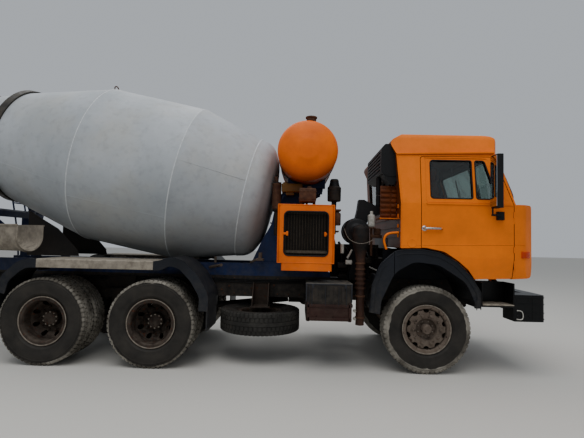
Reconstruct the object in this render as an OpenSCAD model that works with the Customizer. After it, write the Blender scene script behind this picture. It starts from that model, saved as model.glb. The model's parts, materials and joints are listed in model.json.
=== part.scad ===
// Concrete mixer truck: a 6x4 tilt-cab lorry with a mixing drum that has its own engine.
// Millimetres. X points forward, Y to the driver's left, Z up.
// Stations along X are measured from the front axle, and placed() moves them to the middle.

/* [Chassis] */
// Front axle to first driven axle
wheelbase = 3340; // [3200:10:3600]
// Distance between the two driven axles
tandem = 1320; // [1300:10:1400]
// Front axle to the face of the bumper
front_overhang = 1380; // [1340:10:1420]
// Rear axle to the end of the frame rails
rail_overhang = 1400; // [1360:10:1450]
// Width over the outside of the frame rails
rail_spread = 860; // [800:10:900]
// Height of a frame rail's section
rail_h = 286; // [240:2:300]
// Underside of the frame rails above the ground
rail_z = 790; // [770:5:800]
// Width of a rail's flanges
rail_flange = 80; // [60:2:90]
// Thickness of the rail's plate
rail_t = 10; // [8:1:14]
// Height of the mixer's own frame on the rails
subframe_h = 170; // [150:5:175]

/* [Wheels] */
// Diameter over the tread
tyre_d = 1060; // [1040:5:1070]
// Width of one tyre
tyre_w = 286; // [270:2:292]
// Diameter of the rim's flanges
flange_d = 594; // [580:2:610]
// Diameter of the rim's barrel under the bead
barrel_d = 508; // [490:2:520]
// Width over the rim's flanges
rim_w = 216; // [200:2:230]
// Thickness of rim and wheel disc
rim_t = 12; // [8:1:16]
// Distance between the front tyres' middles
front_track = 2026; // [2000:2:2040]
// Distance between the middles of the left and right twins
rear_track = 1856; // [1840:2:1880]
// Distance between the middles of two twin tyres
twin_pitch = 322; // [310:1:330]
// Diameter of the spindles that the hubs turn on
spindle_d = 90; // [80:2:100]
// Radial running clearance of every shaft
run_gap = 0.05; // [0.02:0.01:0.1]

/* [Steering] */
// Distance between the kingpins
kingpin_spread = 1686; // [1670:2:1700]
// Diameter of a kingpin
kingpin_d = 46; // [40:1:50]
// Length of the steering arms
arm_len = 150; // [140:5:165]
// Diameter of the track rod
track_rod_d = 44; // [36:1:50]
// Diameter of the ball heads at the ends of the track rod
rod_head_d = 46; // [44:1:50]

/* [Cab] */
// Width of the cab at the belt line
cab_w = 2500; // [2440:10:2500]
// Height of the belt line, where the windows' part begins
belt_z = 2056; // [2040:2:2080]
// Top of the roof above the ground
roof_z = 2990; // [2960:5:3010]
// Thickness of the cab's walls
cab_wall = 45; // [35:1:50]
// Thickness of a whole door
door_t = 62; // [50:1:70]
// Gap round doors and front lid
panel_gap = 8; // [7:0.5:10]
// Thickness of the front lid
lid_t = 28; // [20:1:32]
// Thickness of the window glass
glass_t = 6; // [5:0.5:8]
// Clearance between pieces that sit against each other
seat_gap = 0.3; // [0.2:0.05:0.4]
// Thickness of the wheel arches
arch_t = 10; // [8:1:14]

/* [Drum] */
// Tilt of the drum's axis
drum_tilt = 11.64; // [11:0.02:12.2]
// Radius of the drum's middle section
drum_r = 1125; // [1080:5:1135]
// Thickness of the drum's plate
drum_wall = 8; // [6:1:10]
// Length of the middle section
drum_mid = 1316; // [1250:2:1350]
// Outside radius of the roller track
track_r = 843; // [835:1:850]
// Radius of a support roller
roller_r = 130; // [120:1:140]
// Half the angle between the two support rollers, seen along the axis
roller_angle = 36; // [33:1:39]
// Radius of the drum's mouth
mouth_r = 560; // [540:5:580]
// Height of the mixing blades
blade_h = 210; // [180:5:230]

/* [Water tank] */
// Outside radius of the water tank
tank_r = 393; // [370:1:400]
// Length of the tank over its domed ends
tank_len = 2000; // [1900:10:2100]
// Height of the tank's middle above the ground
tank_z = 2745; // [2730:1:2770]

/* [Chute] */
// Inside radius of the chute's trough
chute_r = 185; // [170:1:190]
// Length of the chute
chute_len = 1640; // [1560:10:1680]
// Thickness of the chute's plate
chute_t = 5; // [4:1:8]
// Lean of the pin that the chute slews on
chute_lean = 17; // [15:0.5:18]

/* [Hidden] */
$fn = 64;

orange = "#D9731A";
drum_grey = "#9DA2A6";
frame_blue = "#1F3F7A";
dusty = "#8E867C";
plastic = "#23252A";
rubber = "#3A3937";
rusty = "#5B4238";
steel = "#77736C";
iron = "#2E2C2B";
glass = "#5F7075";
amber = "#D8561E";

// Stations along X
axle_x = [0, -wheelbase, -wheelbase - tandem];
bogie_x = -wheelbase - tandem / 2;
rail_end_x = axle_x[2] - rail_overhang;
hopper_back_x = rail_end_x - 800;
rail_front_x = front_overhang - 180;
fork_out = 75;
middle_x = (front_overhang + fork_out + hopper_back_x - 12) / 2;

// Heights and widths that several pieces share
hub_z = tyre_d / 2;
rail_top = rail_z + rail_h;
sub_top = rail_top + subframe_h;
rail_out = rail_spread / 2;
rail_in = rail_out - rail_flange;
cab_side = cab_w / 2;
front_wheel_y = front_track / 2;
twin_y = rear_track / 2;
kingpin_y = kingpin_spread / 2;

module placed() translate([-middle_x, 0, 0]) children();
module both_sides() {
    children();
    mirror([0, 1, 0]) children();
}
module on_side(side) mirror([0, side < 0 ? 1 : 0, 0]) children();
module block(x, y, z) translate([x[0], y[0], z[0]]) cube([x[1] - x[0], y[1] - y[0], z[1] - z[0]]);
module rod_x(y, z, d, x) translate([x[0], y, z]) rotate([0, 90, 0]) cylinder(d = d, h = x[1] - x[0]);
module rod_y(x, z, d, y) translate([x, y[1], z]) rotate([90, 0, 0]) cylinder(d = d, h = y[1] - y[0]);
module rod_z(x, y, d, z) translate([x, y, z[0]]) cylinder(d = d, h = z[1] - z[0]);
// Flat shapes drawn in x and z, in y and z, or in x and y, made solid over a range
module across(y) translate([0, y[1], 0]) rotate([90, 0, 0]) linear_extrude(y[1] - y[0]) children();
module lengthways(x) translate([x[0], 0, 0]) rotate([90, 0, 90]) linear_extrude(x[1] - x[0]) children();
module upright(z) translate([0, 0, z[0]]) linear_extrude(z[1] - z[0]) children();
// A shape of revolution about an axle: its section is drawn as radius and outward distance
module turned_y(x, y, z) translate([x, y, z]) rotate([-90, 0, 0]) rotate_extrude() children();

// A path's corners are [a, b, radius]; each is replaced by an arc of `steps` chords
function unit(v) = v / norm(v);
function corner_arc(p, q, s, r, steps) =
    let (
        a = unit(p - q), b = unit(s - q), half = acos(a * b) / 2,
        mid = q + unit(a + b) * r / sin(half),
        from = q + a * r / tan(half) - mid, to = q + b * r / tan(half) - mid,
        a0 = atan2(from[1], from[0]), turn = (atan2(to[1], to[0]) - a0 + 540) % 360 - 180
    )
    [for (i = [0:steps]) mid + r * [cos(a0 + turn * i / steps), sin(a0 + turn * i / steps)]];
function flat(p) = [p[0], p[1]];
function rounded(path, steps = 5) = [
    for (i = [0:len(path) - 1]) let (n = len(path), q = path[i])
        each q[2] > 0
            ? corner_arc(flat(path[(i + n - 1) % n]), flat(q), flat(path[(i + 1) % n]), q[2], steps)
            : [flat(q)]
];
// The strip between an open path and the same path moved `d` to its left
function left_of(p, q) = let (d = unit(q - p)) [-d[1], d[0]];
function shifted(path, d) = let (n = len(path) - 1) [
    for (i = [0:n])
        let (a = left_of(path[max(i - 1, 0)], path[max(i, 1)]), b = left_of(path[min(i, n - 1)], path[min(i + 1, n)]))
        path[i] + (a + b) * d / (1 + a * b)
];
function reversed(path) = [for (i = [len(path) - 1:-1:0]) path[i]];
function strip(path, d) = concat(path, reversed(shifted(path, d)));
function oblong(a, b, r) = rounded([[a[0], b[0], r], [a[1], b[0], r], [a[1], b[1], r], [a[0], b[1], r]]);

// Frame

module c_rail() lengthways([rail_end_x, rail_front_x])
    polygon([
        [rail_in, rail_z], [rail_out, rail_z], [rail_out, rail_top], [rail_in, rail_top],
        [rail_in, rail_top - rail_t], [rail_out - rail_t, rail_top - rail_t],
        [rail_out - rail_t, rail_z + rail_t], [rail_in, rail_z + rail_t]
    ]);
tow_pin_d = 40;
tilt_x = 1150;
tilt_z = 1075;
tilt_pin_d = 40;
tow_z = rail_z + 60;
tow_eye = 38;
module tow_fork(x, length) difference() {
    block([x, x + length], [-45, 45], [tow_z - 45, tow_z + 45]);
    block([x - 1, x + length + 1], [-46, 46], [tow_z - 22, tow_z + 22]);
    rod_z(x + length - tow_eye, 0, tow_pin_d, [tow_z - 60, tow_z + 60]);
}
module frame() color(plastic) placed() {
    both_sides() {
        c_rail();
        rod_y(tilt_x, tilt_z, tilt_pin_d, [rail_in - 70, rail_out - 20]);
    }
    // Cross members: [x, diameter]
    for (m = [[1100, 120], [-1300, 130], [-2450, 130], [bogie_x, 150], [rail_end_x + 90, 110]])
        rod_y(m[0], rail_z + rail_h / 2, m[1], [-rail_out + rail_t, rail_out - rail_t]);
    block([rail_end_x - 12, rail_end_x], [-rail_out, rail_out], [rail_z, rail_top]);
    difference() {
        block([rail_end_x - 112, rail_end_x - 12], [-60, 60], [tow_z - 60, tow_z + 60]);
        block([rail_end_x - 113, rail_end_x - 30], [-61, 61], [tow_z - 25, tow_z + 25]);
        rod_z(rail_end_x - 70, 0, tow_pin_d, [tow_z - 61, tow_z + 61]);
    }
}

// Mixer's own frame

module subframe() color(frame_blue) placed() {
    both_sides() across([rail_in, rail_out])
        polygon([
            [rail_end_x, rail_top], [-1130, rail_top], [-1130, rail_top + 60],
            [-1300, sub_top], [rail_end_x, sub_top]
        ]);
    for (x = [-1350, -2100, -2700, -4000, -5050, rail_end_x + 40])
        block([x - 45, x + 45], [-rail_in, rail_in], [rail_top, rail_top + 90]);
    // Brackets that carry the fender decks and the hood: [x]
    both_sides() for (x = [-3420, -4600])
        across([rail_out, cab_side - 130])
            polygon([[x - 30, sub_top - 90], [x + 30, sub_top - 90], [x + 30, sub_top - 40], [x - 30, sub_top - 40]]);
    for (x = [-1700, -1250])
        block([x - 30, x + 30], [hood_y[0] + hood_t + seat_gap, -rail_out], [sub_top - 20, sub_top + 50]);
}

// Axles and springs

beam_w = 100;
spring_w = 90;
spring_y = rail_out - spring_w / 2 + 5;
module front_axle() color(iron) placed() difference() {
    union() {
        block([-beam_w / 2, beam_w / 2], [-300, 300], [hub_z - 150, hub_z - 60]);
        both_sides() {
            across([290, 460]) polygon(oblong([-beam_w / 2 - 30, beam_w / 2 + 30], [hub_z - 120, hub_z - 20], 15));
            lengthways([-beam_w / 2, beam_w / 2])
                polygon([[450, hub_z - 120], [kingpin_y, hub_z - 45], [kingpin_y, hub_z + 45], [450, hub_z - 30]]);
            rod_z(0, kingpin_y, beam_w, [hub_z - 60, hub_z + 60]);
        }
    }
    both_sides() rod_z(0, kingpin_y, kingpin_d + 2 * run_gap, [hub_z - 61, hub_z + 61]);
}
// A driven axle: its banjo, tubes and hub spindles
axle_tube_d = 150;
module driven_axle(x) {
    turned_y(x, 0, hub_z) polygon(rounded([[0, -280, 0], [95, -280, 0], [235, -100, 60], [235, 100, 60], [95, 280, 0], [0, 280, 0]]));
    both_sides() {
        rod_y(x, hub_z, axle_tube_d, [200, twin_y - 210]);
        rod_y(x, hub_z, spindle_d, [twin_y - 211, twin_y + 60]);
        block([x - 90, x + 90], [rail_out + 45, rail_out + 155], [hub_z + 40, hub_z + 95 - seat_gap]);
    }
}
module rear_axles() color(iron) placed() {
    for (x = [axle_x[1], axle_x[2]]) driven_axle(x);
    rod_x(0, hub_z, 95, [axle_x[2] + 200, axle_x[1] - 200]);
    translate([axle_x[1] + 200, 0, hub_z + 30]) rotate([0, 83.4, 0]) cylinder(d = 95, h = 1440);
}
// A stack of leaves, the longest on top, with its middle on the origin
function leaf_rise(x, rise, half) = rise * x * x / (half * half);
function leaf(length, rise, half, top) = concat(
    [for (i = [-6:6]) [i / 6 * length, leaf_rise(i / 6 * length, rise, half) - top]],
    [for (i = [6:-1:-6]) [i / 6 * length, leaf_rise(i / 6 * length, rise, half) - top - leaf_t + 1]]
);
leaf_t = 13;
module leaf_stack(half, rise, count) {
    for (k = [0:count - 1])
        across([-spring_w / 2, spring_w / 2])
            polygon(leaf(half * (1 - 0.82 * k / count), rise, half, k * leaf_t));
    block([-60, 60], [-spring_w / 2 - 6, spring_w / 2 + 6], [-count * leaf_t + seat_gap, 4]);
}
front_leaves = 7;
front_spring_rise = 130;
front_spring_z = hub_z - 20 + front_leaves * leaf_t;
rear_leaves = 9;
rear_spring_half = tandem / 2 - 20;
rear_spring_y = rail_out + 100;
rear_spring_rise = 135;
rear_spring_z = hub_z + 95 + rear_spring_rise;
trunnion_z = rear_spring_z - 100;
module leaf_springs() color(iron) placed() both_sides() {
    translate([0, spring_y, front_spring_z]) leaf_stack(720, front_spring_rise, front_leaves);
    for (x = [-700, 700])
        block([x - 40, x + 40], [spring_y - 30, spring_y + 30], [front_spring_z + front_spring_rise - 8, rail_z]);
    rod_y(bogie_x, trunnion_z, 170, [rail_out + 20, rail_out + 165]);
    rod_y(bogie_x, trunnion_z, 110, [0, rail_out + 30]);
    block([bogie_x - 75, bogie_x + 75], [rail_out + 50, rail_out + 150], [trunnion_z, rear_spring_z]);
    across([rail_out, rail_out + 38])
        polygon([for (p = [[-200, rail_top - 40], [200, rail_top - 40], [95, trunnion_z - 60], [-95, trunnion_z - 60]]) [bogie_x + p[0], p[1]]]);
    translate([bogie_x, rear_spring_y, rear_spring_z]) mirror([0, 0, 1])
        leaf_stack(rear_spring_half, rear_spring_rise, rear_leaves);
}

// Engine, gearbox and what hangs on the frame

engine_top = 1350;
module power_unit() color(iron) placed() {
    block([-700, 130], [-310, 310], [rail_z + 30, 1120]);
    both_sides() across([40, 400]) polygon(oblong([-650, 80], [1119, engine_top], 40));
    block([-640, 70], [-39.9, 39.9], [1119, 1230]);
    rod_x(0, 930, 420, [-760, -699]);
    rod_x(0, 910, 330, [-1190, -759]);
    block([-1700, -1450], [-150, 150], [690, rail_z + 190]);
    rod_x(0, 800, 100, [-1451, -1189]);
    // Radiator in front of the engine, between the rails
    block([600, 700], [-rail_in + seat_gap, rail_in - seat_gap], [rail_z + 30, 1130]);
    rod_x(0, 950, 500, [129, 170]);
    // Feet of engine and gearbox on the rails
    both_sides() {
        for (x = [-620, 20]) block([x, x + 70], [300, rail_out - 10], [rail_top + seat_gap, 1120]);
        block([-1650, -1560], [149, rail_in + 30], [rail_z + rail_t + seat_gap, rail_z + 60]);
    }
}
fuel_x = -1150;
module chassis_tanks() color(iron) placed() {
    // Fuel tank on the left, with its straps
    across([rail_out + 90, cab_side - 60]) polygon(oblong([fuel_x - 400, fuel_x + 400], [560, 1040], 90));
    for (x = [fuel_x - 260, fuel_x + 260])
        across([rail_out, rail_out + 90]) polygon(oblong([x - 40, x + 40], [620, rail_top], 10));
    rod_z(fuel_x + 250, cab_side - 180, 90, [1030, 1075]);
    // Air receivers behind the fuel tank
    for (z = [rail_z - 70, rail_z + 170])
        turned_y(-2050, 0, z) polygon(rounded([[0, rail_out + 40, 0], [125, rail_out + 40, 50], [125, cab_side - 130, 50], [0, cab_side - 130, 0]]));
    block([-2080, -2020], [rail_out, rail_out + 60], [rail_z - 120, rail_z + 220]);
}
module battery_box() color(steel) placed() mirror([0, 1, 0]) {
    across([700, cab_side - 20]) polygon(oblong([-1470, -920], [820, 1060], 25));
    // Ribs of the cover
    for (x = [-1390:90:-1000])
        block([x - 18, x + 18], [720, cab_side - 12], [850, 1030]);
    // Tray and the brackets to the rail
    block([-1480, -910], [rail_out, cab_side - 30], [785, 820.1]);
    for (x = [-1440, -950]) {
        across([rail_out, rail_out + 40]) polygon([[x - 30, 620], [x + 30, 620], [x + 30, 1000], [x - 30, 1000]]);
        block([x - 30, x + 30], [rail_out + 40, cab_side - 40], [620, 660]);
        block([x - 30, x + 30], [cab_side - 90, cab_side - 40], [660, 790]);
    }
}

// Spare wheel, flat under the right rail

spare_x = -2070;
spare_y = -560;
spare_z = 380;
flange_t = 12;
module tyre_section() {
    bore = barrel_d / 2 + seat_gap;
    bead = rim_w / 2 - flange_t - seat_gap;
    over = flange_d / 2 + 4;
    half = tyre_w / 2;
    r = tyre_d / 2;
    polygon(rounded([
        [bore, -bead, 9], [over, -bead, 8], [over + 12, -rim_w / 2 - 6, 8],
        [r - 120, -half, 90], [r - 30, -half + 6, 20], [r - 4, -half + 22, 20], [r, 0, 0], [r - 4, half - 22, 20],
        [r - 30, half - 6, 20], [r - 120, half, 90], [over + 12, rim_w / 2 + 6, 8], [over, bead, 8], [bore, bead, 9]
    ], 3));
}
// A rim's barrel with its flanges
module barrel_section() {
    r = barrel_d / 2;
    f = flange_d / 2;
    w = rim_w / 2;
    polygon(rounded([
        [r, -w + flange_t, 0], [f, -w + flange_t, 0], [f, -w, 3], [r - 4, -w, 10], [r - rim_t, -w + 26, 12],
        [r - rim_t, w - 26, 12], [r - 4, w, 10], [f, w, 3], [f, w - flange_t, 0], [r, w - flange_t, 0]
    ], 1));
}
hand_hole_d = 60;
// A wheel disc: its face lies at `face`, and hand holes run round its slope
module wheel_disc(face, root, holes) difference() {
    rotate_extrude() polygon(strip(rounded([
        [barrel_d / 2 - rim_t + 4, root, 0], [barrel_d / 2 - 34, root + (face - root) * 0.25, 20],
        [170, face, 30], [100, face, 0]
    ], 2), face > root ? rim_t : -rim_t));
    for (i = [0:holes - 1]) rotate([0, 0, (i + 0.5) * 360 / holes])
        translate([204, 0, min(face, root) - 20]) cylinder(d = hand_hole_d, h = abs(face - root) + 40);
}
module spare_tyre() color(rubber) placed()
    translate([spare_x, spare_y, spare_z + tyre_w / 2]) rotate_extrude() tyre_section();
hanger_t = 12;
hanger_h = 315;
hanger_out = 690;
module spare_carrier() color(iron) placed() {
    translate([spare_x, spare_y, spare_z + tyre_w / 2]) {
        rotate_extrude() barrel_section();
        wheel_disc(-120, -50, rear_holes);
    }
    // Hanger plate and the arms to the rail
    top = spare_z + tyre_w + 8;
    block([spare_x - 130, spare_x + 130], [-hanger_out, -rail_out - 1], [top, top + 16]);
    rod_z(spare_x, spare_y, 60, [spare_z + 20, top + 10]);
    rod_z(spare_x, spare_y, 240, [spare_z + 10, spare_z + 24]);
    block([spare_x - 110, spare_x + 110], [-rail_out - hanger_t, -rail_out], [top, top + hanger_h]);
    for (x = [spare_x - 110, spare_x + 110 - hanger_t])
        lengthways([x, x + hanger_t]) polygon([
            [-rail_out - 1, top], [-hanger_out, top], [-hanger_out + 20, top + 90],
            [-rail_out - 90, top + hanger_h], [-rail_out - 1, top + hanger_h]
        ]);
}

// Wheel arches and fenders. Outlines run from the front, over the top, to the rear

front_arch_inner = [
    [530, 780, 0], [538, 870, 40], [430, 1115, 260], [110, 1318, 260], [-190, 1350, 200],
    [-420, 1215, 260], [-575, 880, 90], [-592, 720, 0]
];
front_arch_outer = [
    [606, 800, 0], [604, 1010, 60], [505, 1172, 200], [325, 1358, 200], [112, 1470, 220], [-100, 1506, 260],
    [-400, 1490, 200], [-600, 1310, 220], [-690, 1060, 200], [-718, 740, 0]
];
// The liner stands clear of the steered tyre
front_liner = [
    [578, 790, 0], [568, 880, 60], [440, 1130, 260], [110, 1328, 260], [-190, 1360, 200], [-430, 1225, 260],
    [-602, 900, 90], [-630, 720, 0]
];
liner_in = 480;
arch_split = -425;
module arch_band() polygon(concat(rounded(front_arch_outer), reversed(rounded(front_arch_inner))));
module front_arch() {
    across([cab_side - 35, cab_side]) arch_band();
    across([liner_in, cab_side - 30]) polygon(strip(rounded(front_liner), -arch_t));
}
module cab_arches() color(plastic) placed() both_sides() {
    intersection() {
        front_arch();
        block([arch_split + 4, 700], [0, cab_side + 50], [815, 1600]);
    }
    // Brackets up to the cab's floor: [x, underside]
    for (b = [[-250, 1356], [490, 1020]]) difference() {
        block([b[0] - 20, b[0] + 20], [cab_side - 180, cab_side - 120], [b[1], b[1] + 300]);
        cab_form(-seat_gap);
    }
}
module arches_rear() color(plastic) placed() both_sides() {
    difference() {
        front_arch();
        block([arch_split - 4, 700], [0, cab_side + 50], [600, 1600]);
    }
    block([-640, -600], [rail_out, 900], [1060, 1100]);
    block([-646, -600], [880, cab_side - 30], [1050, 1180]);
}
deck_z = 1285;
deck_front_x = -3320;
deck_rear_x = axle_x[2] - 80;
module fender_decks() color(dusty) placed() both_sides() {
    // Folded sheet: a top and a skirt
    lengthways([deck_rear_x, deck_front_x])
        polygon(strip([[600, deck_z - 20], [600, deck_z], [cab_side - 10, deck_z], [cab_side, deck_z - 10], [cab_side, deck_z - 105]], -5));
    for (x = [-3420, -4600])
        block([x - 30, x + 30], [600, cab_side - 140], [deck_z - 60, deck_z - 5.1]);
}
fender_front = [
    [deck_front_x + seat_gap, deck_z, 0], [deck_front_x + 60, deck_z, 60], [-3120, 1350, 200], [-2950, 1300, 220],
    [-2780, 1130, 300], [-2640, 900, 260], [-2645, 700, 0]
];
fender_rear = [[deck_rear_x - seat_gap, deck_z, 0], [deck_rear_x - 190, deck_z, 300], [-5165, 1070, 260], [-5216, 880, 0]];
module fender_ends() color(plastic) placed() both_sides() {
    for (path = [fender_front, reversed(fender_rear)]) {
        across([600, cab_side - 24]) polygon(strip(rounded(path), -arch_t));
        across([cab_side - 25, cab_side]) polygon(strip(rounded(path), -110));
    }
    block([-2668, -2650], [640, cab_side - 30], [460, 760]);
    block([-5228, -5210], [640, cab_side - 30], [460, 930]);
    for (x = [-2990, -5050])
        block([x - 25, x + 25], [rail_out, 640], [1100, 1150]);
}

// Bumper with steps, lamps

bumper_z = [670, 985];
step_x = 625;
step_z = 832;
step_top = 1118;
bumper_back_x = 1003;
module bumper_plan(inset) polygon(rounded([
    [front_overhang - inset, -900, 600], [front_overhang - inset, 900, 600],
    [front_overhang - 18 - inset, cab_side - 20 - inset, 40], [bumper_back_x + inset, cab_side - 20 - inset, 10],
    [bumper_back_x + inset, -cab_side + 20 + inset, 10], [front_overhang - 18 - inset, -cab_side + 20 + inset, 40]
], 4));
lamp_x = 1270;
lamp_y = 960;
lamp_z = 835;
module bumper() color(iron) placed() {
    difference() {
        upright(bumper_z) bumper_plan(0);
        upright([bumper_z[0] - 1, bumper_z[1] - 12]) bumper_plan(12);
        block([900, 1230], [-cab_side + 310, cab_side - 310], [bumper_z[0] - 1, bumper_z[1] + 1]);
        for (y = [-lamp_y, lamp_y]) {
            block([lamp_x, 1400], [y - 190, y + 190], [lamp_z - 95, lamp_z + 95]);
        }
        block([1200, 1400], [-300, 300], [bumper_z[0] + 70, bumper_z[0] + 150]);
    }
    // Back plate of each lamp's recess, and the web from rail end to bumper face
    for (y = [-lamp_y, lamp_y])
        block([lamp_x - 20, lamp_x], [y - 200, y + 200], [lamp_z - 105, bumper_z[1] - 5]);
    both_sides() {
        block([rail_front_x + seat_gap, front_overhang - 6], [rail_in, rail_out], [rail_z + 130, bumper_z[1] - 6]);
        translate([0, (rail_in + rail_out) / 2, 0]) tow_fork(front_overhang - 110, 110 + fork_out);
        // Step box below the door: floor, back, and the walls towards arch and bumper
        block([step_x, bumper_back_x + 6], [cab_side - 300, cab_side - 25], [step_z, step_z + 30]);
        block([step_x, bumper_back_x + 6], [cab_side - 310, cab_side - 299], [step_z, step_top]);
        block([step_x, step_x + 10], [cab_side - 300, cab_side - 40], [step_z, step_top]);
        block([bumper_back_x - 10, bumper_back_x + 6], [cab_side - 300, cab_side - 25], [bumper_z[0] + 10, step_top]);
        block([step_x + 40, step_x + 100], [rail_out, cab_side - 309], [880, 910]);
    }
}
module lamps() color("#D8D8D0") placed() both_sides() {
    for (y = [lamp_y - 90, lamp_y + 90]) {
        turned_x(lamp_x, y, lamp_z) polygon(rounded([[0, 0, 0], [60, 0, 0], [82, 50, 10], [82, 62, 6], [0, 84, 0]]));
    }
    // Tail lamps
    block([rail_end_x - 52, rail_end_x - 12], [560, 960], [800, 920]);
    block([rail_end_x - 12, rail_end_x + 20], [rail_out, 980], [820, 900]);
}
module turned_x(x, y, z) translate([x, y, z]) rotate([0, 90, 0]) rotate_extrude() children();

// Behind the cab

cleaner_x = -840;
cleaner_z = 1710;
duct_x = -530;
duct_y = 720;
duct_d = 70;
duct_joint = 2200;
module air_cleaner() color(iron) placed() {
    turned_y(cleaner_x, -980, cleaner_z)
        polygon(rounded([[0, 0, 0], [70, 0, 0], [100, 20, 10], [150, 30, 20], [160, 60, 12], [160, 420, 20], [130, 440, 20], [0, 440, 0]]));
    for (y = [-900, -650]) turned_y(cleaner_x, y, cleaner_z) polygon([[158, 0], [168, 0], [168, 30], [158, 30]]);
    // Angular elbow on its top, and the duct up to the intake
    across([-duct_y - 75, -duct_y + 75]) polygon([
        [-850, 1840], [-700, 1800], [-660, 1890], [-480, 1950], [-480, 2010],
        [-600, 2060], [-730, 2125], [-795, 2125], [-815, 1980]
    ]);
    rod_z(duct_x, -duct_y, duct_d, [1990, duct_joint - 10]);
    // Bracket down to the frame
    block([cleaner_x - 60, cleaner_x + 60], [-700, -640], [rail_top, cleaner_z - 140]);
    block([cleaner_x - 60, cleaner_x + 60], [-700, -rail_in], [rail_top, rail_top + 50]);
}
stack_x = -808;
stack_y = -1089;
// Exhaust pipe with its bellows, and the bulb-shaped silencer on it
module exhaust() color(rusty) placed() {
    translate([stack_x, stack_y, 0]) {
        rotate_extrude() polygon(rounded([
            [0, 560, 0], [52, 560, 0], [52, 1330, 60], [66, 1430, 60], [100, 1540, 60], [106, 1650, 50],
            [92, 1745, 40], [50, 1785, 20], [0, 1785, 0]
        ], 3));
        for (z = [1000:56:1180]) rod_z(0, 0, 132, [z, z + 22]);
    }
    block([stack_x - 20, stack_x + 20], [stack_y + 40, -rail_out], [930, 970]);
}
hood_x = [-1830, -1145];
hood_z = [1300, 2010];
hood_y = [-1225, -640];
hood_t = 6;
module mixer_hood() color(orange) placed() {
    difference() {
        union() {
            upright(hood_z) polygon(oblong(hood_x, hood_y, 40));
            upright([hood_z[0] - 90, hood_z[0] + 1]) polygon(oblong([hood_x[0] + 50, hood_x[1] - 25], [hood_y[0], hood_y[1]], 20));
        }
        upright([hood_z[0] - 91, hood_z[1] - hood_t])
            polygon(oblong([hood_x[0] + 50 + hood_t, hood_x[1] - 25 - hood_t], [hood_y[0] + hood_t, hood_y[1] + 20], 30));
        across([hood_y[0] - 10, hood_y[0] + 50]) polygon(oblong([hood_x[0] + 79, hood_x[1] - 75], [1390, 1925], 55));
    }
}
radiator_x = [hood_x[0] + 70, hood_x[1] - 45];
cleaner2 = [-1108, -612];
module mixer_engine() color(iron) placed() {
    // Radiator core with its fins and tanks
    block(radiator_x, [-1170, -1110], [1330, 1400]);
    block(radiator_x, [-1170, -1110], [1900, 1960]);
    block(radiator_x, [-1130, -1110], [1399, 1901]);
    for (x = [radiator_x[0] + 10:18:radiator_x[1] - 10])
        block([x - 2, x + 2], [-1165, -1129], [1399, 1901]);
    block([radiator_x[0] + 40, radiator_x[1] - 40], [-1110, -1000], [1380, 1920]);
    rod_y(-1480, 1650, 120, [-1001, -690]);
    // Engine block, sump and gearbox
    block([-1640, -1300], [-700, 260], [1390, 1780]);
    block([-1600, -1340], [-690, 250], [1780, 1900]);
    block([-1600, -1340], [-640, 100], [sub_top, 1391]);
    rod_y(-1480, 1560, 380, [259, 420]);
    // Engine feet on the mixer's frame
    for (y = [-rail_out + 40, rail_out - 40])
        block([-1660, -1290], [y - 35, y + 35], [sub_top, 1420]);
    // Air intake mushroom and silencer
    rod_z(cleaner2[0], cleaner2[1], 60, [1670, 2120]);
    translate([cleaner2[0], cleaner2[1], 0]) rotate_extrude() polygon(rounded([[0, 2100, 0], [90, 2110, 20], [92, 2300, 30], [55, 2330, 10], [62, 2400, 20], [0, 2410, 0]]));
    block([-1310, cleaner2[0]], [cleaner2[1] - 20, cleaner2[1] + 20], [1660, 1720]);
    rod_z(-1885, -560, 120, [1980, 2360]);
    rod_z(-1885, -560, 60, [1640, 1981]);
    block([-1900, -1630], [-590, -530], [1630, 1690]);
}

// Water tank across the truck

gear_foot = -295;

tank_x = -1480;
filler_d = 130;
module water_tank() color(orange) placed() {
    dome = 110;
    half = tank_len / 2;
    turned_y(tank_x, 0, tank_z) polygon(concat(
        [[0, -half]],
        rounded([[tank_r * 0.62, -half + 18, 120], [tank_r - 6, -half + dome - 45, 80], [tank_r, -half + dome, 0],
            [tank_r, half - dome, 0], [tank_r - 6, half - dome + 45, 80], [tank_r * 0.62, half - 18, 120]], 5),
        [[0, half]]
    ));
    translate([tank_x + 40, -780, 0]) {
        rod_z(0, 0, filler_d, [tank_z + tank_r - 30, tank_z + tank_r + 62]);
        rod_z(0, 0, filler_d + 24, [tank_z + tank_r + 50, tank_z + tank_r + 74]);
    }
}
module front_stand() color(frame_blue) placed() {
    both_sides() {
        across([rail_in, rail_in + 16]) polygon([
            [-2230, sub_top], [-1820, sub_top], [-1820, 1760], [-1690, 2060], [-1250, 2270], [-1250, 2330],
            [-1700, 2330], [-1930, 1960], [-1960, 1800], [-2090, 1560]
        ]);
        block([-2230, -1820], [rail_in, rail_in + 70], [sub_top, sub_top + 16]);
        // Saddle of the water tank
        difference() {
            block([tank_x - 260, tank_x + 260], [rail_in - 30, rail_in + 60], [2310, tank_z - tank_r * 0.78]);
            rod_y(tank_x, tank_z, 2 * (tank_r + seat_gap), [rail_in - 40, rail_in + 70]);
        }
        turned_y(tank_x, rail_in - 5, tank_z) polygon([[tank_r + seat_gap, 0], [tank_r + 4, 0], [tank_r + 4, 50], [tank_r + seat_gap, 50]]);
    }
    // Seat of the drum's gearbox, and the beams between the side plates
    in_drum() translate([gear_foot - 16, -rail_in - 1, hub_s - 270]) cube([16 - seat_gap, 2 * rail_in + 2, 240]);
    block([-1850, -1820], [-rail_in - 1, rail_in + 1], [1420, 1785]);
    block([-1600, -1560], [-rail_in - 1, rail_in + 1], [2230, 2310]);
}

// Drum. Its axis starts at the front seam of the middle section and points back and up

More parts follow.
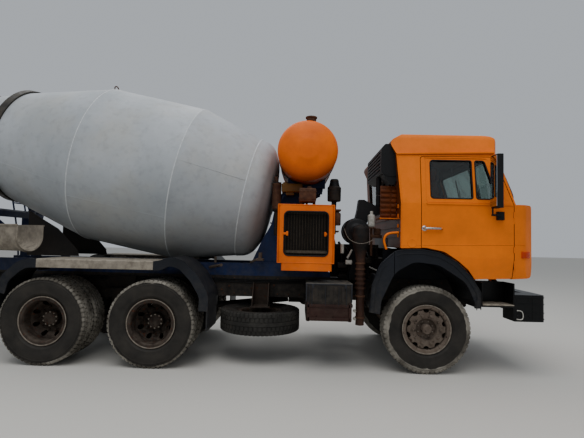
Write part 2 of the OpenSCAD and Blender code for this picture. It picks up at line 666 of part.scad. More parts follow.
drum_x = -3166;
drum_z = 2370;
hub_s = -1240;
head_s = -881;
track_s = 2574;
mouth_s = 3330;
head_r = 876;
track_w = 90;
drum_shaft_d = 120;
module in_drum() translate([drum_x, 0, drum_z]) rotate([0, drum_tilt - 90, 0]) children();
cone_r = track_r - 38;
// Radius and place along the axis, from the hub back to the mouth
drum_path = rounded([
    [150, hub_s + 15, 0], [560, hub_s + 35, 500], [head_r - 34, hub_s + 178, 260], [head_r, head_s, 0], [drum_r - 3, 0, 0],
    [drum_r, drum_mid / 2, 0], [drum_r, drum_mid, 0], [cone_r, track_s, 0], [mouth_r, mouth_s, 0]
], 6);
function shell_r(s) = lookup(s, [[drum_mid, drum_r], [track_s, cone_r], [mouth_s, mouth_r]]);
eye_s = drum_mid + 174;
eye_r = shell_r(eye_s);
module drum_shell() color(drum_grey) placed() in_drum() {
    rotate_extrude($fn = 96) polygon(strip(drum_path, drum_wall));
    // Mouth ring
    rotate_extrude($fn = 96) polygon([[mouth_r - 4, mouth_s - 1], [mouth_r + 14, mouth_s - 1], [mouth_r + 14, mouth_s + 24], [mouth_r - 4, mouth_s + 24]]);
    // Hub flange and shaft
    translate([0, 0, hub_s]) cylinder(r = 175, h = 26);
    translate([0, 0, hub_s - 80]) cylinder(d = drum_shaft_d, h = 81);
    // Lifting eye behind the rear seam of the middle section, and the hatch
    rotate([90, 0, 0]) translate([0, 0, -8]) linear_extrude(16) difference() {
        polygon(rounded([
            [shell_r(eye_s - 55) - 4, eye_s - 55, 0], [shell_r(eye_s + 55) - 4, eye_s + 55, 0],
            [eye_r + 75, eye_s + 42, 20], [eye_r + 125, eye_s, 30], [eye_r + 75, eye_s - 42, 20]
        ]));
        translate([eye_r + 70, eye_s]) circle(r = 24);
    }
    rotate([0, 0, 150]) translate([drum_r - 12, 0, 640]) rotate([0, 90, 0]) cylinder(r = 240, h = 26);
}
module drum_ring() color(iron) placed() in_drum() rotate_extrude($fn = 96) polygon([
    [shell_r(track_s - track_w / 2) + seat_gap, track_s - track_w / 2],
    [track_r, track_s - track_w / 2], [track_r, track_s + track_w / 2],
    [shell_r(track_s + track_w / 2) + 7, track_s + track_w / 2],
    [shell_r(track_s) + seat_gap, track_s]
]);
// Two spiral blades on the inside of the rear cone, swept along a conical helix
blade_from = 1750;
blade_turn = 300;
blade_steps = 40;
blade_t = 8;
function blade_ring(i, start) =
    let (
        s = blade_from + (mouth_s - 20 - blade_from) * i / blade_steps,
        a = start + blade_turn * i / blade_steps,
        r = shell_r(s) - drum_wall * 1.06 - seat_gap,
        across_plate = [[r, 0], [r - blade_h, -30], [r - blade_h, -30 + blade_t], [r, blade_t]]
    )
    [for (p = across_plate) [p[0] * cos(a), p[0] * sin(a), s + p[1] - blade_t - 2]];
module swept(rings) {
    n = len(rings[0]);
    last = len(rings) - 1;
    polyhedron(
        points = [for (ring = rings) each ring],
        faces = concat(
            [[for (j = [0:n - 1]) j]],
            [for (i = [0:last - 1], j = [0:n - 1])
                each [[i * n + j, (i + 1) * n + j, (i + 1) * n + (j + 1) % n], [i * n + j, (i + 1) * n + (j + 1) % n, i * n + (j + 1) % n]]],
            [[for (j = [n - 1:-1:0]) last * n + j]]
        )
    );
}
module drum_blades() color(steel) placed() in_drum()
    for (start = [0, 180])
        swept([for (i = [0:blade_steps]) blade_ring(i, start)]);

// Gearbox that turns the drum

module drum_gearbox() color(frame_blue) placed() in_drum() difference() {
    union() {
        translate([0, 0, hub_s - 300]) rotate_extrude() polygon(rounded([
            [0, 0, 0], [110, 0, 20], [130, 60, 20], [215, 80, 20], [215, 200, 20], [140, 230, 20], [120, 292, 8], [0, 292, 0]
        ]));
        // Feet down to the seat
        for (y = [-150, 80]) translate([gear_foot, y, hub_s - 230]) cube([-100 - gear_foot, 70, 150]);
    }
    translate([0, 0, hub_s - 81]) cylinder(d = drum_shaft_d + 2 * run_gap, h = 90);
}

// Support rollers and what carries them

roller_w = 100;
roller_pin_d = 50;
roller_reach = track_r + roller_r + seat_gap;
module at_roller(side) translate([-roller_reach * cos(roller_angle), side * roller_reach * sin(roller_angle), track_s]) children();
module roller(side) placed() in_drum() at_roller(side) difference() {
    translate([0, 0, -roller_w / 2]) cylinder(r = roller_r, h = roller_w);
    translate([0, 0, -roller_w]) cylinder(d = roller_pin_d + 2 * run_gap, h = 2 * roller_w);
}
module roller_left() color(steel) roller(1);
module roller_right() color(steel) roller(-1);
beam_top = -roller_reach * cos(roller_angle) - roller_r - 60;
beam_half = roller_reach * sin(roller_angle) + 90;
post_y = [beam_half - 10, beam_half + 40];
chute_pivot = [-6560, -470, 1200];
chute_pin_d = 60;
module at_chute_pin() translate(chute_pivot) rotate([0, -chute_lean, 0]) children();
module rear_stand() color(frame_blue) placed() {
    in_drum() {
        translate([beam_top - 90, -beam_half, track_s - 100]) cube([90, 2 * beam_half, 200]);
        for (side = [-1, 1]) at_roller(side) {
            for (s = [-roller_w / 2 - 26, roller_w / 2 + 8])
                translate([0, 0, s]) linear_extrude(18)
                    polygon([[40, -45], [40, 45], [-roller_r - 70, 75], [-roller_r - 70, -75]]);
            translate([0, 0, -roller_w / 2 - 40]) cylinder(d = roller_pin_d, h = roller_w + 80);
        }
    }
    both_sides() {
        block([-5960, -5850], [rail_in, rail_out], [sub_top, 1850]);
        across([rail_in, rail_in + 12]) polygon([[-5851, 1650], [-5300, sub_top], [-5160, sub_top], [-5851, 1800]]);
        // Post beside the drum's mouth, and the arm that carries spout and hopper
        across(post_y) polygon([[-5860, 1760], [-5960, 1760], [-6640, throat_z + 10], [-6540, throat_z + 10]]);
        across(post_y) polygon([[-6180, spout_top - 60], [hopper_back_x, spout_top - 60], [hopper_back_x, spout_top], [-6200, spout_top]]);
        block([-6640, -6560], [230 + seat_gap, post_y[0] + 1], [throat_z - 70, throat_z - 10]);
    }
    // Arm and pin of the chute
    block([rail_end_x - 60, rail_end_x - seat_gap], [-560, -rail_in], [sub_top - 90, sub_top - 10]);
    block([-6620, rail_end_x - 59], [-530, -410], [sub_top - 90, sub_top - 10]);
    at_chute_pin() translate([0, 0, -60]) cylinder(d = chute_pin_d, h = 180);
}

// Hopper, spout and chute

hopper_top = 3730;
throat_z = hopper_top - 340;
hopper_t = 6;
hopper_x = [hopper_back_x, hopper_back_x + 540];
module hopper_cone(t) hull() {
    block([hopper_x[0] + t, hopper_x[1] - t], [-430 + t, 430 - t], [hopper_top - 1, hopper_top]);
    block([-6650 + t, -6430 - t], [-230 + t, 230 - t], [throat_z, throat_z + 1]);
}
module hopper() color(dusty) placed() {
    difference() {
        union() {
            hopper_cone(0);
            across([-230, 230]) polygon([
                [-6650, throat_z + 1], [-6430, throat_z + 1], [-6345, throat_z - 290], [-6520, throat_z - 290]
            ]);
        }
        translate([0, 0, 0.5]) hopper_cone(hopper_t);
        across([-230 + hopper_t, 230 - hopper_t]) polygon([
            [-6650 + hopper_t, throat_z + 5], [-6430 - hopper_t, throat_z + 5],
            [-6345 - hopper_t, throat_z - 291], [-6520 + hopper_t, throat_z - 291]
        ]);
    }
    // Rim
    difference() {
        block([hopper_x[0] - 12, hopper_x[1] + 12], [-442, 442], [hopper_top - 40, hopper_top]);
        block([hopper_x[0] + 2, hopper_x[1] - 2], [-428, 428], [hopper_top - 41, hopper_top + 1]);
    }
}
spout_half = post_y[0] - seat_gap;
spout_top = 2440;
module spout_form(t) hull() {
    block([hopper_back_x + t, -6480 - t], [-spout_half + t, spout_half - t], [spout_top - 1, spout_top]);
    block([-6700 + t, -6440 - t], [-640 + t, -320 - t], [1800, 1801]);
}
module spout() color(dusty) placed() difference() {
    spout_form(0);
    spout_form(hopper_t);
    block([hopper_back_x + hopper_t, -6480 - hopper_t], [-spout_half + hopper_t, spout_half - hopper_t], [spout_top - 2, spout_top + 1]);
    block([-6700 + hopper_t, -6440 - hopper_t], [-640 + hopper_t, -320 - hopper_t], [1798, 1803]);
}
chute_turn = -17.6;
chute_z = 1550;
chute_rise = 150;
module chute() color(dusty) placed() {
    translate([chute_pivot[0], chute_pivot[1], chute_z]) rotate([0, 0, chute_turn]) {
        r = chute_r + chute_t;
        lengthways([-150, chute_len]) union() {
            difference() {
                circle(r = r);
                circle(r = chute_r);
                translate([-r - 1, 0]) square([2 * r + 2, r + 1]);
            }
            for (y = [-r, chute_r]) translate([y, -1]) square([chute_t, chute_rise + 1]);
            for (y = [-r - 14, chute_r]) translate([y, chute_rise - 18]) square([chute_t + 14, 18]);
        }
        // Bands round the trough
        for (x = [60, chute_len * 0.5, chute_len - 60]) difference() {
            rod_x(0, 0, 2 * r + 24, [x, x + 40]);
            rod_x(0, 0, 2 * r - 2, [x - 1, x + 41]);
            block([x - 1, x + 41], [-r - 20, r + 20], [0, r + 20]);
        }
        // Saddle over the pin
        difference() {
            block([-110, 60], [-60, 60], [-r - 28, -r + 25]);
            rod_x(0, 0, 2 * r - 4, [-120, 70]);
        }
    }
    at_chute_pin() difference() {
        translate([0, 0, 52]) cylinder(d = chute_pin_d + 36, h = 88);
        translate([0, 0, 50]) cylinder(d = chute_pin_d + 2 * run_gap, h = 74);
    }
}

// Wheels

module tyre_front(side) placed() on_side(side) turned_y(0, front_wheel_y, hub_z) tyre_section();
module tyre_twins(side, x) placed() on_side(side)
    for (y = [twin_y - twin_pitch / 2, twin_y + twin_pitch / 2]) turned_y(x, y, hub_z) tyre_section();
module tyre_front_left() color(rubber) tyre_front(1);
module tyre_front_right() color(rubber) tyre_front(-1);
module tyres_middle_left() color(rubber) tyre_twins(1, axle_x[1]);
module tyres_middle_right() color(rubber) tyre_twins(-1, axle_x[1]);
module tyres_rear_left() color(rubber) tyre_twins(1, axle_x[2]);
module tyres_rear_right() color(rubber) tyre_twins(-1, axle_x[2]);

// Hub with brake drum. `cap` is the section from its flange in to the axle: [radius, distance, rounding]
module hub(inner, drum_face, face, cap) difference() {
    outer = cap[len(cap) - 1][1];
    rotate_extrude() polygon(rounded(concat(
        [[0, inner, 0], [205, inner, 10], [205, drum_face, 12], [150, face, 0]], cap, [[0, outer, 0]]
    ), 2));
    translate([0, 0, inner - 1]) cylinder(d = spindle_d + 2 * run_gap, h = outer - inner - 40);
}
front_face = 95;
front_notches = 10;
front_notch_d = 74;
front_well_r = 128;
// Front disc: a flat face almost flush with the rim, notched all round its edge
module front_disc() difference() {
    rotate_extrude() polygon(strip(rounded([
        [barrel_d / 2 - rim_t + 4, front_face - 34, 0], [barrel_d / 2 - 24, front_face, 14], [front_well_r + 4, front_face, 0]
    ], 2), rim_t));
    for (i = [0:front_notches - 1]) rotate([0, 0, (i + 0.5) * 360 / front_notches])
        translate([barrel_d / 2 - 18, 0, front_face - 60]) cylinder(d = front_notch_d, h = 80);
}
module rim_front(side) placed() on_side(side) translate([0, front_wheel_y, hub_z]) rotate([-90, 0, 0]) {
    rotate_extrude() barrel_section();
    front_disc();
    hub(-85, 30, front_face - rim_t, [
        [front_well_r, front_face - rim_t, 0], [front_well_r - 10, front_face - 54, 0], [66, front_face - 54, 0],
        [56, front_face + 34, 6], [46, front_face + 45, 0]
    ]);
}
rear_holes = 8;
module rims_rear(side, x) placed() on_side(side) translate([x, twin_y, hub_z]) rotate([-90, 0, 0]) {
    for (s = [-1, 1]) translate([0, 0, s * twin_pitch / 2]) {
        rotate_extrude() barrel_section();
        mirror([0, 0, s > 0 ? 0 : 1]) wheel_disc(-twin_pitch / 2 - 0.1, -60, rear_holes);
    }
    hub(-200, -40, 0.2 - rim_t, [[100, 0.2 - rim_t, 0], [95, 84, 10], [72, 110, 8]]);
}
module rim_front_left() color(dusty) rim_front(1);
module rim_front_right() color(dusty) rim_front(-1);
module rims_middle_left() color(rusty) rims_rear(1, axle_x[1]);
module rims_middle_right() color(rusty) rims_rear(-1, axle_x[1]);
module rims_rear_left() color(rusty) rims_rear(1, axle_x[2]);
module rims_rear_right() color(rusty) rims_rear(-1, axle_x[2]);

// Steering knuckle: yoke, kingpin, spindle and steering arm
// The arm points straight back, so that the track rod stays the same length at every lock
arm_y = kingpin_y;
arm_z = hub_z - 110;
module knuckle(side) placed() on_side(side) {
    for (z = [[hub_z - 118, hub_z - 62], [hub_z + 62, hub_z + 118]]) rod_z(0, kingpin_y, 92, z);
    rod_z(0, kingpin_y, kingpin_d, [hub_z - 117, hub_z + 117]);
    difference() {
        block([-46, 46], [kingpin_y, kingpin_y + 62], [hub_z - 118, hub_z + 118]);
        rod_z(0, kingpin_y, beam_w + 10, [hub_z - 62, hub_z + 62]);
    }
    rod_y(0, hub_z, spindle_d, [kingpin_y + 56, front_wheel_y + 95]);
    turned_y(0, kingpin_y + 54, hub_z) polygon([[0, 0], [190, 0], [190, 8], [0, 8]]);
    // Arm back to the track rod
    upright([arm_z, arm_z + 36]) polygon([
        [-40, arm_y + 30], [-40, arm_y - 40], [-arm_len, arm_y - 30], [-arm_len - 26, arm_y], [-arm_len, arm_y + 24]
    ]);
    rod_z(-arm_len, arm_y, 24, [arm_z - 52, arm_z + 1]);
}
module knuckle_left() color(iron) knuckle(1);
module knuckle_right() color(iron) knuckle(-1);
module track_rod() color(iron) placed() {
    z = arm_z - 28;
    rod_y(-arm_len, z, track_rod_d, [-arm_y + 22, arm_y - 22]);
    for (y = [-arm_y, arm_y]) difference() {
        rod_z(-arm_len, y, rod_head_d, [z - 24, z + 24]);
        rod_z(-arm_len, y, y < 0 ? 28 : 24 + 2 * run_gap, [z - 25, z + 25]);
    }
}

// Cab: the space common to its side view, its plan and its front view

cab_rear_x = -355;
nose_x = 1305;
gutter_z = 2655;
screen_foot = [1162, belt_z + 10];
screen_head = [938, gutter_z - 5];
cab_profile = rounded([
    [cab_rear_x, 1510, 10], [-50, 1518, 300], [165, 1476, 250], [330, 1368, 0], [452, 1264, 0], [532, 1151, 8],
    [1000, 1168, 0], [1238, 1186, 50], [nose_x - 6, 1500, 300], [nose_x, 1720, 300], [nose_x - 18, 1900, 200],
    [1258, belt_z, 45], [screen_foot[0], screen_foot[1], 12], [screen_head[0], screen_head[1], 60],
    [918, roof_z - 200, 90], [800, roof_z - 75, 130], [560, roof_z - 18, 300], [150, roof_z, 400],
    [-230, roof_z - 8, 160], [cab_rear_x - 125, roof_z - 160, 70], [cab_rear_x - 46, 2680, 20], [cab_rear_x, belt_z, 0]
]);
// Plans of the body below the belt line, of the windows' part square to the screen's lean, and of the roof
cab_plan = rounded([
    [cab_rear_x - 40, cab_side, 60], [1120, cab_side, 140], [nose_x - 25, 1110, 120], [nose_x + 12, 700, 400],
    [nose_x + 12, -700, 400], [nose_x - 25, -1110, 120], [1120, -cab_side, 140], [cab_rear_x - 40, -cab_side, 60]
]);
screen_plan = rounded([
    [-2400, cab_side + 60, 0], [-170, cab_side + 60, 0], [-70, 1110, 90], [2, 700, 500],
    [2, -700, 500], [-70, -1110, 90], [-170, -cab_side - 60, 0], [-2400, -cab_side - 60, 0]
]);
roof_plan = rounded([
    [cab_rear_x - 160, cab_side + 60, 0], [700, cab_side + 60, 0], [868, 1040, 140], [945, 650, 400],
    [945, -650, 400], [868, -1040, 140], [700, -cab_side - 60, 0], [cab_rear_x - 160, -cab_side - 60, 0]
]);
cab_section = rounded([
    [1215, 1100, 0], [cab_side, 1420, 300], [cab_side, belt_z, 60], [1168, 2650, 0], [1150, 2690, 10],
    [1095, roof_z - 65, 90], [800, roof_z + 2, 400], [-800, roof_z + 2, 400], [-1095, roof_z - 65, 90],
    [-1150, 2690, 10], [-1168, 2650, 0], [-cab_side, belt_z, 60], [-cab_side, 1420, 300], [-1215, 1100, 0]
]);
screen_lean = atan2(screen_foot[0] - screen_head[0], screen_head[1] - screen_foot[1]);
module cab_plans(inset) {
    upright([1000, belt_z + 2]) offset(delta = -inset) polygon(cab_plan);
    intersection() {
        block([cab_rear_x - 300, nose_x + 100], [-cab_side - 50, cab_side + 50], [belt_z - 20, gutter_z + 8]);
        translate([screen_foot[0], 0, screen_foot[1]]) rotate([0, -screen_lean, 0]) translate([0, 0, -300])
            linear_extrude(2400) offset(delta = -inset) polygon(screen_plan);
    }
    upright([gutter_z, roof_z + 10]) offset(delta = -inset) polygon(roof_plan);
}
module cab_form(inset) intersection() {
    across([-cab_side - 10, cab_side + 10]) offset(delta = -inset) polygon(cab_profile);
    cab_plans(inset);
    lengthways([cab_rear_x - 180, nose_x + 30]) offset(delta = -inset) polygon(cab_section);
}
door_rear_x = -105;
door_front_x = 990;
door_outline = rounded([
    [door_rear_x, 1520, 10], [-50, 1522, 200], [168, 1480, 200], [336, 1370, 0], [458, 1268, 0], [536, 1158, 10],
    [door_front_x - 16, 1172, 20], [door_front_x, 1400, 0], [door_front_x, belt_z - 10, 60], [790, 2640, 40], [door_rear_x, 2632, 30]
]);
window_z = [2118, 2590];
door_window = rounded([[8, window_z[0], 35], [508, window_z[0], 25], [508, window_z[1], 20], [8, window_z[1], 40]]);
quarter_window = rounded([[552, window_z[0], 25], [800, window_z[0], 30], [665, window_z[1], 40], [552, window_z[1], 20]]);
screen = rounded([[1105, belt_z + 70, 90], [1035, 2680, 90], [-1035, 2680, 90], [-1105, belt_z + 70, 90]]);
rear_window = rounded([[250, 2150, 60], [900, 2150, 60], [870, 2560, 60], [250, 2560, 60]]);
lid_y = 790;
lid_z = [1430, 2000];
lid_hinge_x = 1269;
lid_back_x = 1215;
fire_wall_x = 1150;
lid_outline = rounded([[lid_y, lid_z[0], 30], [lid_y, lid_z[1], 30], [-lid_y, lid_z[1], 30], [-lid_y, lid_z[0], 30]]);
// How deep the door is, from the sill up to the roof, in the front view
door_section = [
    [cab_side + 30, 1100], [cab_side + 30, 2700], [1085, 2700], [1175, belt_z], [1175, 1420], [1145, 1100]
];
module door_space(gap) intersection() {
    across([1000, cab_side + 30]) offset(delta = gap) polygon(door_outline);
    lengthways([door_rear_x - 50, door_front_x + 50]) offset(delta = gap) polygon(door_section);
}
module cab_shell() color(orange) placed() {
    difference() {
        cab_form(0);
        intersection() {
            cab_form(cab_wall);
            union() {
                block([cab_rear_x - 200, fire_wall_x], [-cab_side, cab_side], [1000, belt_z]);
                block([cab_rear_x - 200, nose_x], [-cab_side, cab_side], [belt_z, roof_z]);
            }
        }
        both_sides() door_space(panel_gap);
        lengthways([700, nose_x + 40]) polygon(screen);
        both_sides() lengthways([cab_rear_x - 160, cab_rear_x + 80]) polygon(rear_window);
        lengthways([lid_back_x, nose_x + 40]) offset(delta = panel_gap) polygon(lid_outline);
    }
    // Gutter over the door
    both_sides() difference() {
        translate([0, 1130, gutter_z + 13]) rotate([0, -1.6, 0]) translate([cab_rear_x - 42, 0, 0]) cube([1192, 54, 16]);
        cab_form(2);
    }
    // Ribs of the rear wall
    for (z = [1640, 1760, 1880, 2000])
        block([cab_rear_x - 14, cab_rear_x + 2], [-1130, 1130], [z, z + 45]);
    // Pivots that the cab tilts on
    both_sides() difference() {
        across([rail_in - 60, rail_in - 12]) polygon([[1060, 1190], [1110, 1040], [1190, 1040], [1180, 1200]]);
        rod_y(tilt_x, tilt_z, tilt_pin_d + 2 * run_gap, [0, cab_side]);
    }
}
module cab_glass() color(glass) placed() {
    intersection() {
        difference() {
            cab_form(10);
            cab_form(10 + glass_t);
        }
        union() {
            lengthways([700, nose_x + 40]) offset(delta = -seat_gap) polygon(screen);
            both_sides() lengthways([cab_rear_x - 160, cab_rear_x + 80]) offset(delta = -seat_gap) polygon(rear_window);
        }
    }
}
module front_lid() color(orange) placed() {
    // Hinge barrels in the gap above the lid
    for (y = [-560, 500])
        rod_y(lid_hinge_x, lid_z[1], 2 * (panel_gap - seat_gap), [y, y + 60]);
    difference() {
        intersection() {
            difference() {
                cab_form(0);
                cab_form(lid_t);
            }
            lengthways([lid_back_x, nose_x + 40]) polygon(lid_outline);
        }
        // Slots of the grille
        for (z = [1500:62:1690])
            lengthways([lid_back_x - 60, nose_x + 40]) polygon(oblong([-620, 620], [z, z + 34], 12));
    }
}
module door(side) placed() on_side(side) {
    difference() {
        intersection() {
            difference() {
                cab_form(0);
                cab_form(door_t);
            }
            door_space(0);
        }
        across([900, cab_side + 30]) polygon(door_window);
        across([900, cab_side + 30]) polygon(quarter_window);
    }
    // Hinge barrels in the gap in front of the door
    for (z = [1480, 1900])
        rod_z(door_front_x, cab_side, 2 * (panel_gap - seat_gap), [z, z + 70]);
    // Belt moulding and handle
    difference() {
        across([cab_side - 20, cab_side + 9]) polygon([[door_rear_x + 60, belt_z - 12], [door_front_x - 5, belt_z - 12], [door_front_x - 10, belt_z + 6], [door_rear_x + 60, belt_z + 6]]);
        cab_form(3);
    }
    rod_x(cab_side + 30, 1752, 22, [-80, 136]);
    for (x = [-70, 126]) rod_y(x, 1752, 20, [cab_side - 10, cab_side + 31]);
}
module door_left() color(orange) door(1);
module door_right() color(orange) door(-1);
module door_glass(side) placed() on_side(side) intersection() {
    difference() {
        cab_form(16);
        cab_form(16 + glass_t);
    }
    for (outline = [door_window, quarter_window])
        across([900, cab_side + 30]) offset(delta = -seat_gap) polygon(outline);
}
module door_glass_left() color(glass) door_glass(1);
module door_glass_right() color(glass) door_glass(-1);
mirror_y = cab_side + 170;
module mirror_arm(side) placed() on_side(side) {
    upright([2000, 2620]) polygon(oblong([680, 757], [mirror_y - 95, mirror_y + 95], 26));
    rod_z(715, mirror_y - 115, 20, [1915, 2590]);
    for (z = [2060, 2560]) rod_y(715, z, 18, [mirror_y - 116, mirror_y - 90]);
    block([704, 832], [mirror_y - 126, mirror_y - 104], [1914, 1936]);
    rod_y(820, 1925, 22, [cab_side + 20, mirror_y - 106]);
    block([780, 862], [cab_side + seat_gap, cab_side + 40], [1868, 1968]);
}
module mirror_left() color(iron) mirror_arm(1);
module mirror_right() color(iron) mirror_arm(-1);
module cab_lamps() color(amber) placed() both_sides() difference() {
    upright([1420, 1500]) polygon([[1080, cab_side - 60], [1186, cab_side - 110], [1208, cab_side - 64], [1084, cab_side + 8]]);
    cab_form(-seat_gap);
}
intake_x = -570;
module intake_box() color(plastic) placed() mirror([0, 1, 0]) {
    difference() {
        union() {
            across([20, 1100]) polygon(rounded([
                [cab_rear_x + 20, 2395, 0], [-470, 2392, 20], [intake_x, 2440, 30], [intake_x, 2745, 40],
                [intake_x + 50, 2800, 30], [cab_rear_x + 20, 2800, 0]
            ], 4));
            // Drain funnel at the near end
            across([880, 1094]) polygon([[-540, 2420], [cab_rear_x + 20, 2420], [-405, 2290], [-455, 2290]]);
        }
        for (z = [2470:44:2700]) block([intake_x - 10, intake_x + 14], [90, 1040], [z, z + 20]);
        cab_form(-seat_gap);
    }
    rod_z(duct_x, duct_y, duct_d, [duct_joint, 2430]);
}
module seat(y) {
    across([y - 230, y + 230]) polygon(rounded([[-40, 1590, 30], [560, 1600, 50], [560, 1710, 50], [-40, 1680, 30]]));
    across([y - 220, y + 220]) polygon(rounded([[-150, 1620, 40], [-10, 1620, 30], [-60, 2170, 50], [-180, 2170, 50]]));
    intersection() {
        block([120, 480], [y - 180, y + 180], [1200, 1600]);
        cab_form(cab_wall + seat_gap);
    }
}
module cab_interior() color(plastic) placed() {
    seat(620);
    seat(-620);
    // Dashboard with the steering wheel
    intersection() {
        across([-1180, 1180]) polygon(rounded([[fire_wall_x - seat_gap, 1700, 0], [900, 1760, 40], [880, 1950, 60], [980, 2040, 60], [fire_wall_x - seat_gap, 2040, 0]]));
        cab_form(cab_wall + seat_gap);
    }
    translate([760, 620, 1960]) rotate([0, 30, 0]) {
        rotate_extrude() translate([225, 0]) circle(r = 14);
        translate([0, 0, -20]) cylinder(r = 50, h = 26);
        for (a = [90, 210, 330]) rotate([0, 0, a]) translate([0, -14, -8]) cube([220, 28, 12]);
        translate([0, 0, -320]) cylinder(r = 26, h = 301);
    }
}

frame();
subframe();
front_axle();
rear_axles();
leaf_springs();
power_unit();
chassis_tanks();
battery_box();
spare_tyre();
spare_carrier();
arches_rear();
fender_decks();
fender_ends();
bumper();
lamps();
air_cleaner();
exhaust();
mixer_hood();
mixer_engine();
water_tank();
front_stand();
drum_gearbox();
rear_stand();
hopper();
spout();
cab_shell();
cab_glass();
cab_interior();
cab_arches();
cab_lamps();
intake_box();
front_lid();
door_left();
door_right();
door_glass_left();
door_glass_right();
mirror_left();
mirror_right();
drum_shell();
drum_ring();
drum_blades();
roller_left();
roller_right();
chute();
knuckle_left();
knuckle_right();
track_rod();
tyre_front_left();
tyre_front_right();
rim_front_left();
rim_front_right();
tyres_middle_left();
tyres_middle_right();
rims_middle_left();
rims_middle_right();
tyres_rear_left();
tyres_rear_right();
rims_rear_left();
rims_rear_right();
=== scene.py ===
"""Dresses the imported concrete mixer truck: tyres, drum, cab trim, hardware and finishes."""

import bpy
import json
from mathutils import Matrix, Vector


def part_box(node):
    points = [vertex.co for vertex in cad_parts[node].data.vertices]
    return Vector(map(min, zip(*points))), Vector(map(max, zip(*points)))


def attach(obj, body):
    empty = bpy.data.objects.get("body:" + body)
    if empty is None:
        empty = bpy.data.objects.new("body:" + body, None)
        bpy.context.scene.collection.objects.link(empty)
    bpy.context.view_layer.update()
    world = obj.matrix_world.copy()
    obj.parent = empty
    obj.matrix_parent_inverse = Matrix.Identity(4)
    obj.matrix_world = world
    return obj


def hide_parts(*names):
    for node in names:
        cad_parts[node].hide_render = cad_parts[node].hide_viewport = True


bl_info = {
    "name": "Concrete Mixer Truck",
    "version": (1, 0, 0),
    "blender": (4, 5, 0),
    "location": "View3D > Sidebar > Mixer Truck",
    "description": "Models the looks of a tilt-cab lorry with a concrete mixer on its packed frame",
    "category": "Object",
}

import json
import math

import bmesh
import bpy
from mathutils import Matrix, Vector

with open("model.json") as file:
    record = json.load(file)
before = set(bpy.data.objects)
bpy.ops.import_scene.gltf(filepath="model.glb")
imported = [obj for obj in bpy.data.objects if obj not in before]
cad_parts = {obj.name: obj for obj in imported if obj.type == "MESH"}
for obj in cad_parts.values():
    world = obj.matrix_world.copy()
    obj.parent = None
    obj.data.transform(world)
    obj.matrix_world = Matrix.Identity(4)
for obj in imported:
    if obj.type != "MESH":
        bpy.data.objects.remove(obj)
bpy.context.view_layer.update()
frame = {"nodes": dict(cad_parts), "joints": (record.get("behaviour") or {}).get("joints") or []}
NODES = frame["nodes"]
JOINTS = {joint["name"]: joint for joint in frame["joints"]}

# Stations along the truck are given in millimetres from the front axle, as in the part's source.
FRONT_AXLE = JOINTS["steering_left"]["pos_m"][0]
DRUM_AXIS = Vector(JOINTS["drum_spin"]["axis"])
DRUM_START = Vector(JOINTS["drum_spin"]["pos_m"])
DRUM_UP = Vector((-DRUM_AXIS.z, 0, DRUM_AXIS.x)) * -1
# The truck faces along x, stands on z = 0, and its left side is at positive y.
FORWARD, LEFT, UP = Vector((1, 0, 0)), Vector((0, 1, 0)), Vector((0, 0, 1))
SIDES = (("left", 1), ("right", -1))
FULL_TURN = 2 * math.pi


def at(x, y, z):
    """A point in metres, from millimetres at the truck's own stations."""
    return Vector((FRONT_AXLE + x / 1000, y / 1000, z / 1000))


def drum_point(along, radius, angle):
    """A point in metres at the drum: millimetres along its axis and out from it, degrees round it from the top."""
    turn = math.radians(angle)
    out = DRUM_UP * math.cos(turn) + LEFT * math.sin(turn)
    return DRUM_START + DRUM_AXIS * (along / 1000) + out * (radius / 1000)


def turns(count, start=0.0):
    """Angles in radians, evenly spaced round a circle."""
    return [FULL_TURN * (index + start) / count for index in range(count)]


# Shapes

def box(bm, corner, opposite, bevel=2.0, segments=2):
    """A block between two opposite corners in millimetres, with rounded edges."""
    low, high = at(*map(min, corner, opposite)), at(*map(max, corner, opposite))
    size = high - low
    matrix = Matrix.Translation((high + low) / 2) @ Matrix.Diagonal((*size, 1))
    made = bmesh.ops.create_cube(bm, size=1, matrix=matrix)["verts"]
    edges = list({edge for vert in made for edge in vert.link_edges})
    bmesh.ops.bevel(bm, geom=edges, offset=min(bevel / 1000, min(size) / 3), offset_type="OFFSET",
                    segments=segments, profile=0.5, affect="EDGES", material=-1)


def rod(bm, start, end, radius, sides=20, end_radius=None):
    """A round bar between two points in metres; its radii are in millimetres."""
    span = end - start
    turn = UP.rotation_difference(span).to_matrix().to_4x4()
    far = radius if end_radius is None else end_radius
    return bmesh.ops.create_cone(bm, cap_ends=True, segments=sides, radius1=radius / 1000, radius2=far / 1000,
                                 depth=span.length, matrix=Matrix.Translation((start + end) / 2) @ turn)["verts"]


def lathe(bm, outline, centre, axis, steps=64, closed=False):
    """Spins an outline of [radius, distance along the axis] in millimetres round an axis at a centre in metres."""
    axis = Vector(axis).normalized()
    side = axis.orthogonal().normalized()
    verts = [bm.verts.new(centre + side * (r / 1000) + axis * (s / 1000)) for r, s in outline]
    edges = [bm.edges.new(pair) for pair in zip(verts, verts[1:] + verts[:1] if closed else verts[1:])]
    bmesh.ops.spin(bm, geom=verts + edges, cent=centre, axis=axis, dvec=(0, 0, 0), angle=FULL_TURN, steps=steps,
                   use_merge=True, use_duplicate=False)
    bmesh.ops.remove_doubles(bm, verts=bm.verts, dist=0.00001)


def prism(bm, outline, low, high, upright=True):
    """A block on an outline of [x, y] between two heights, or of [x, z] between two widths, in millimetres."""
    spots = [at(a, b, low) if upright else at(a, low, b) for a, b in outline]
    foot = bm.faces.new([bm.verts.new(spot) for spot in spots])
    made = bmesh.ops.extrude_face_region(bm, geom=[foot])["geom"]
    raised = [part for part in made if isinstance(part, bmesh.types.BMVert)]
    reach = (high - low) / 1000
    bmesh.ops.translate(bm, verts=raised, vec=(0, 0, reach) if upright else (0, reach, 0))


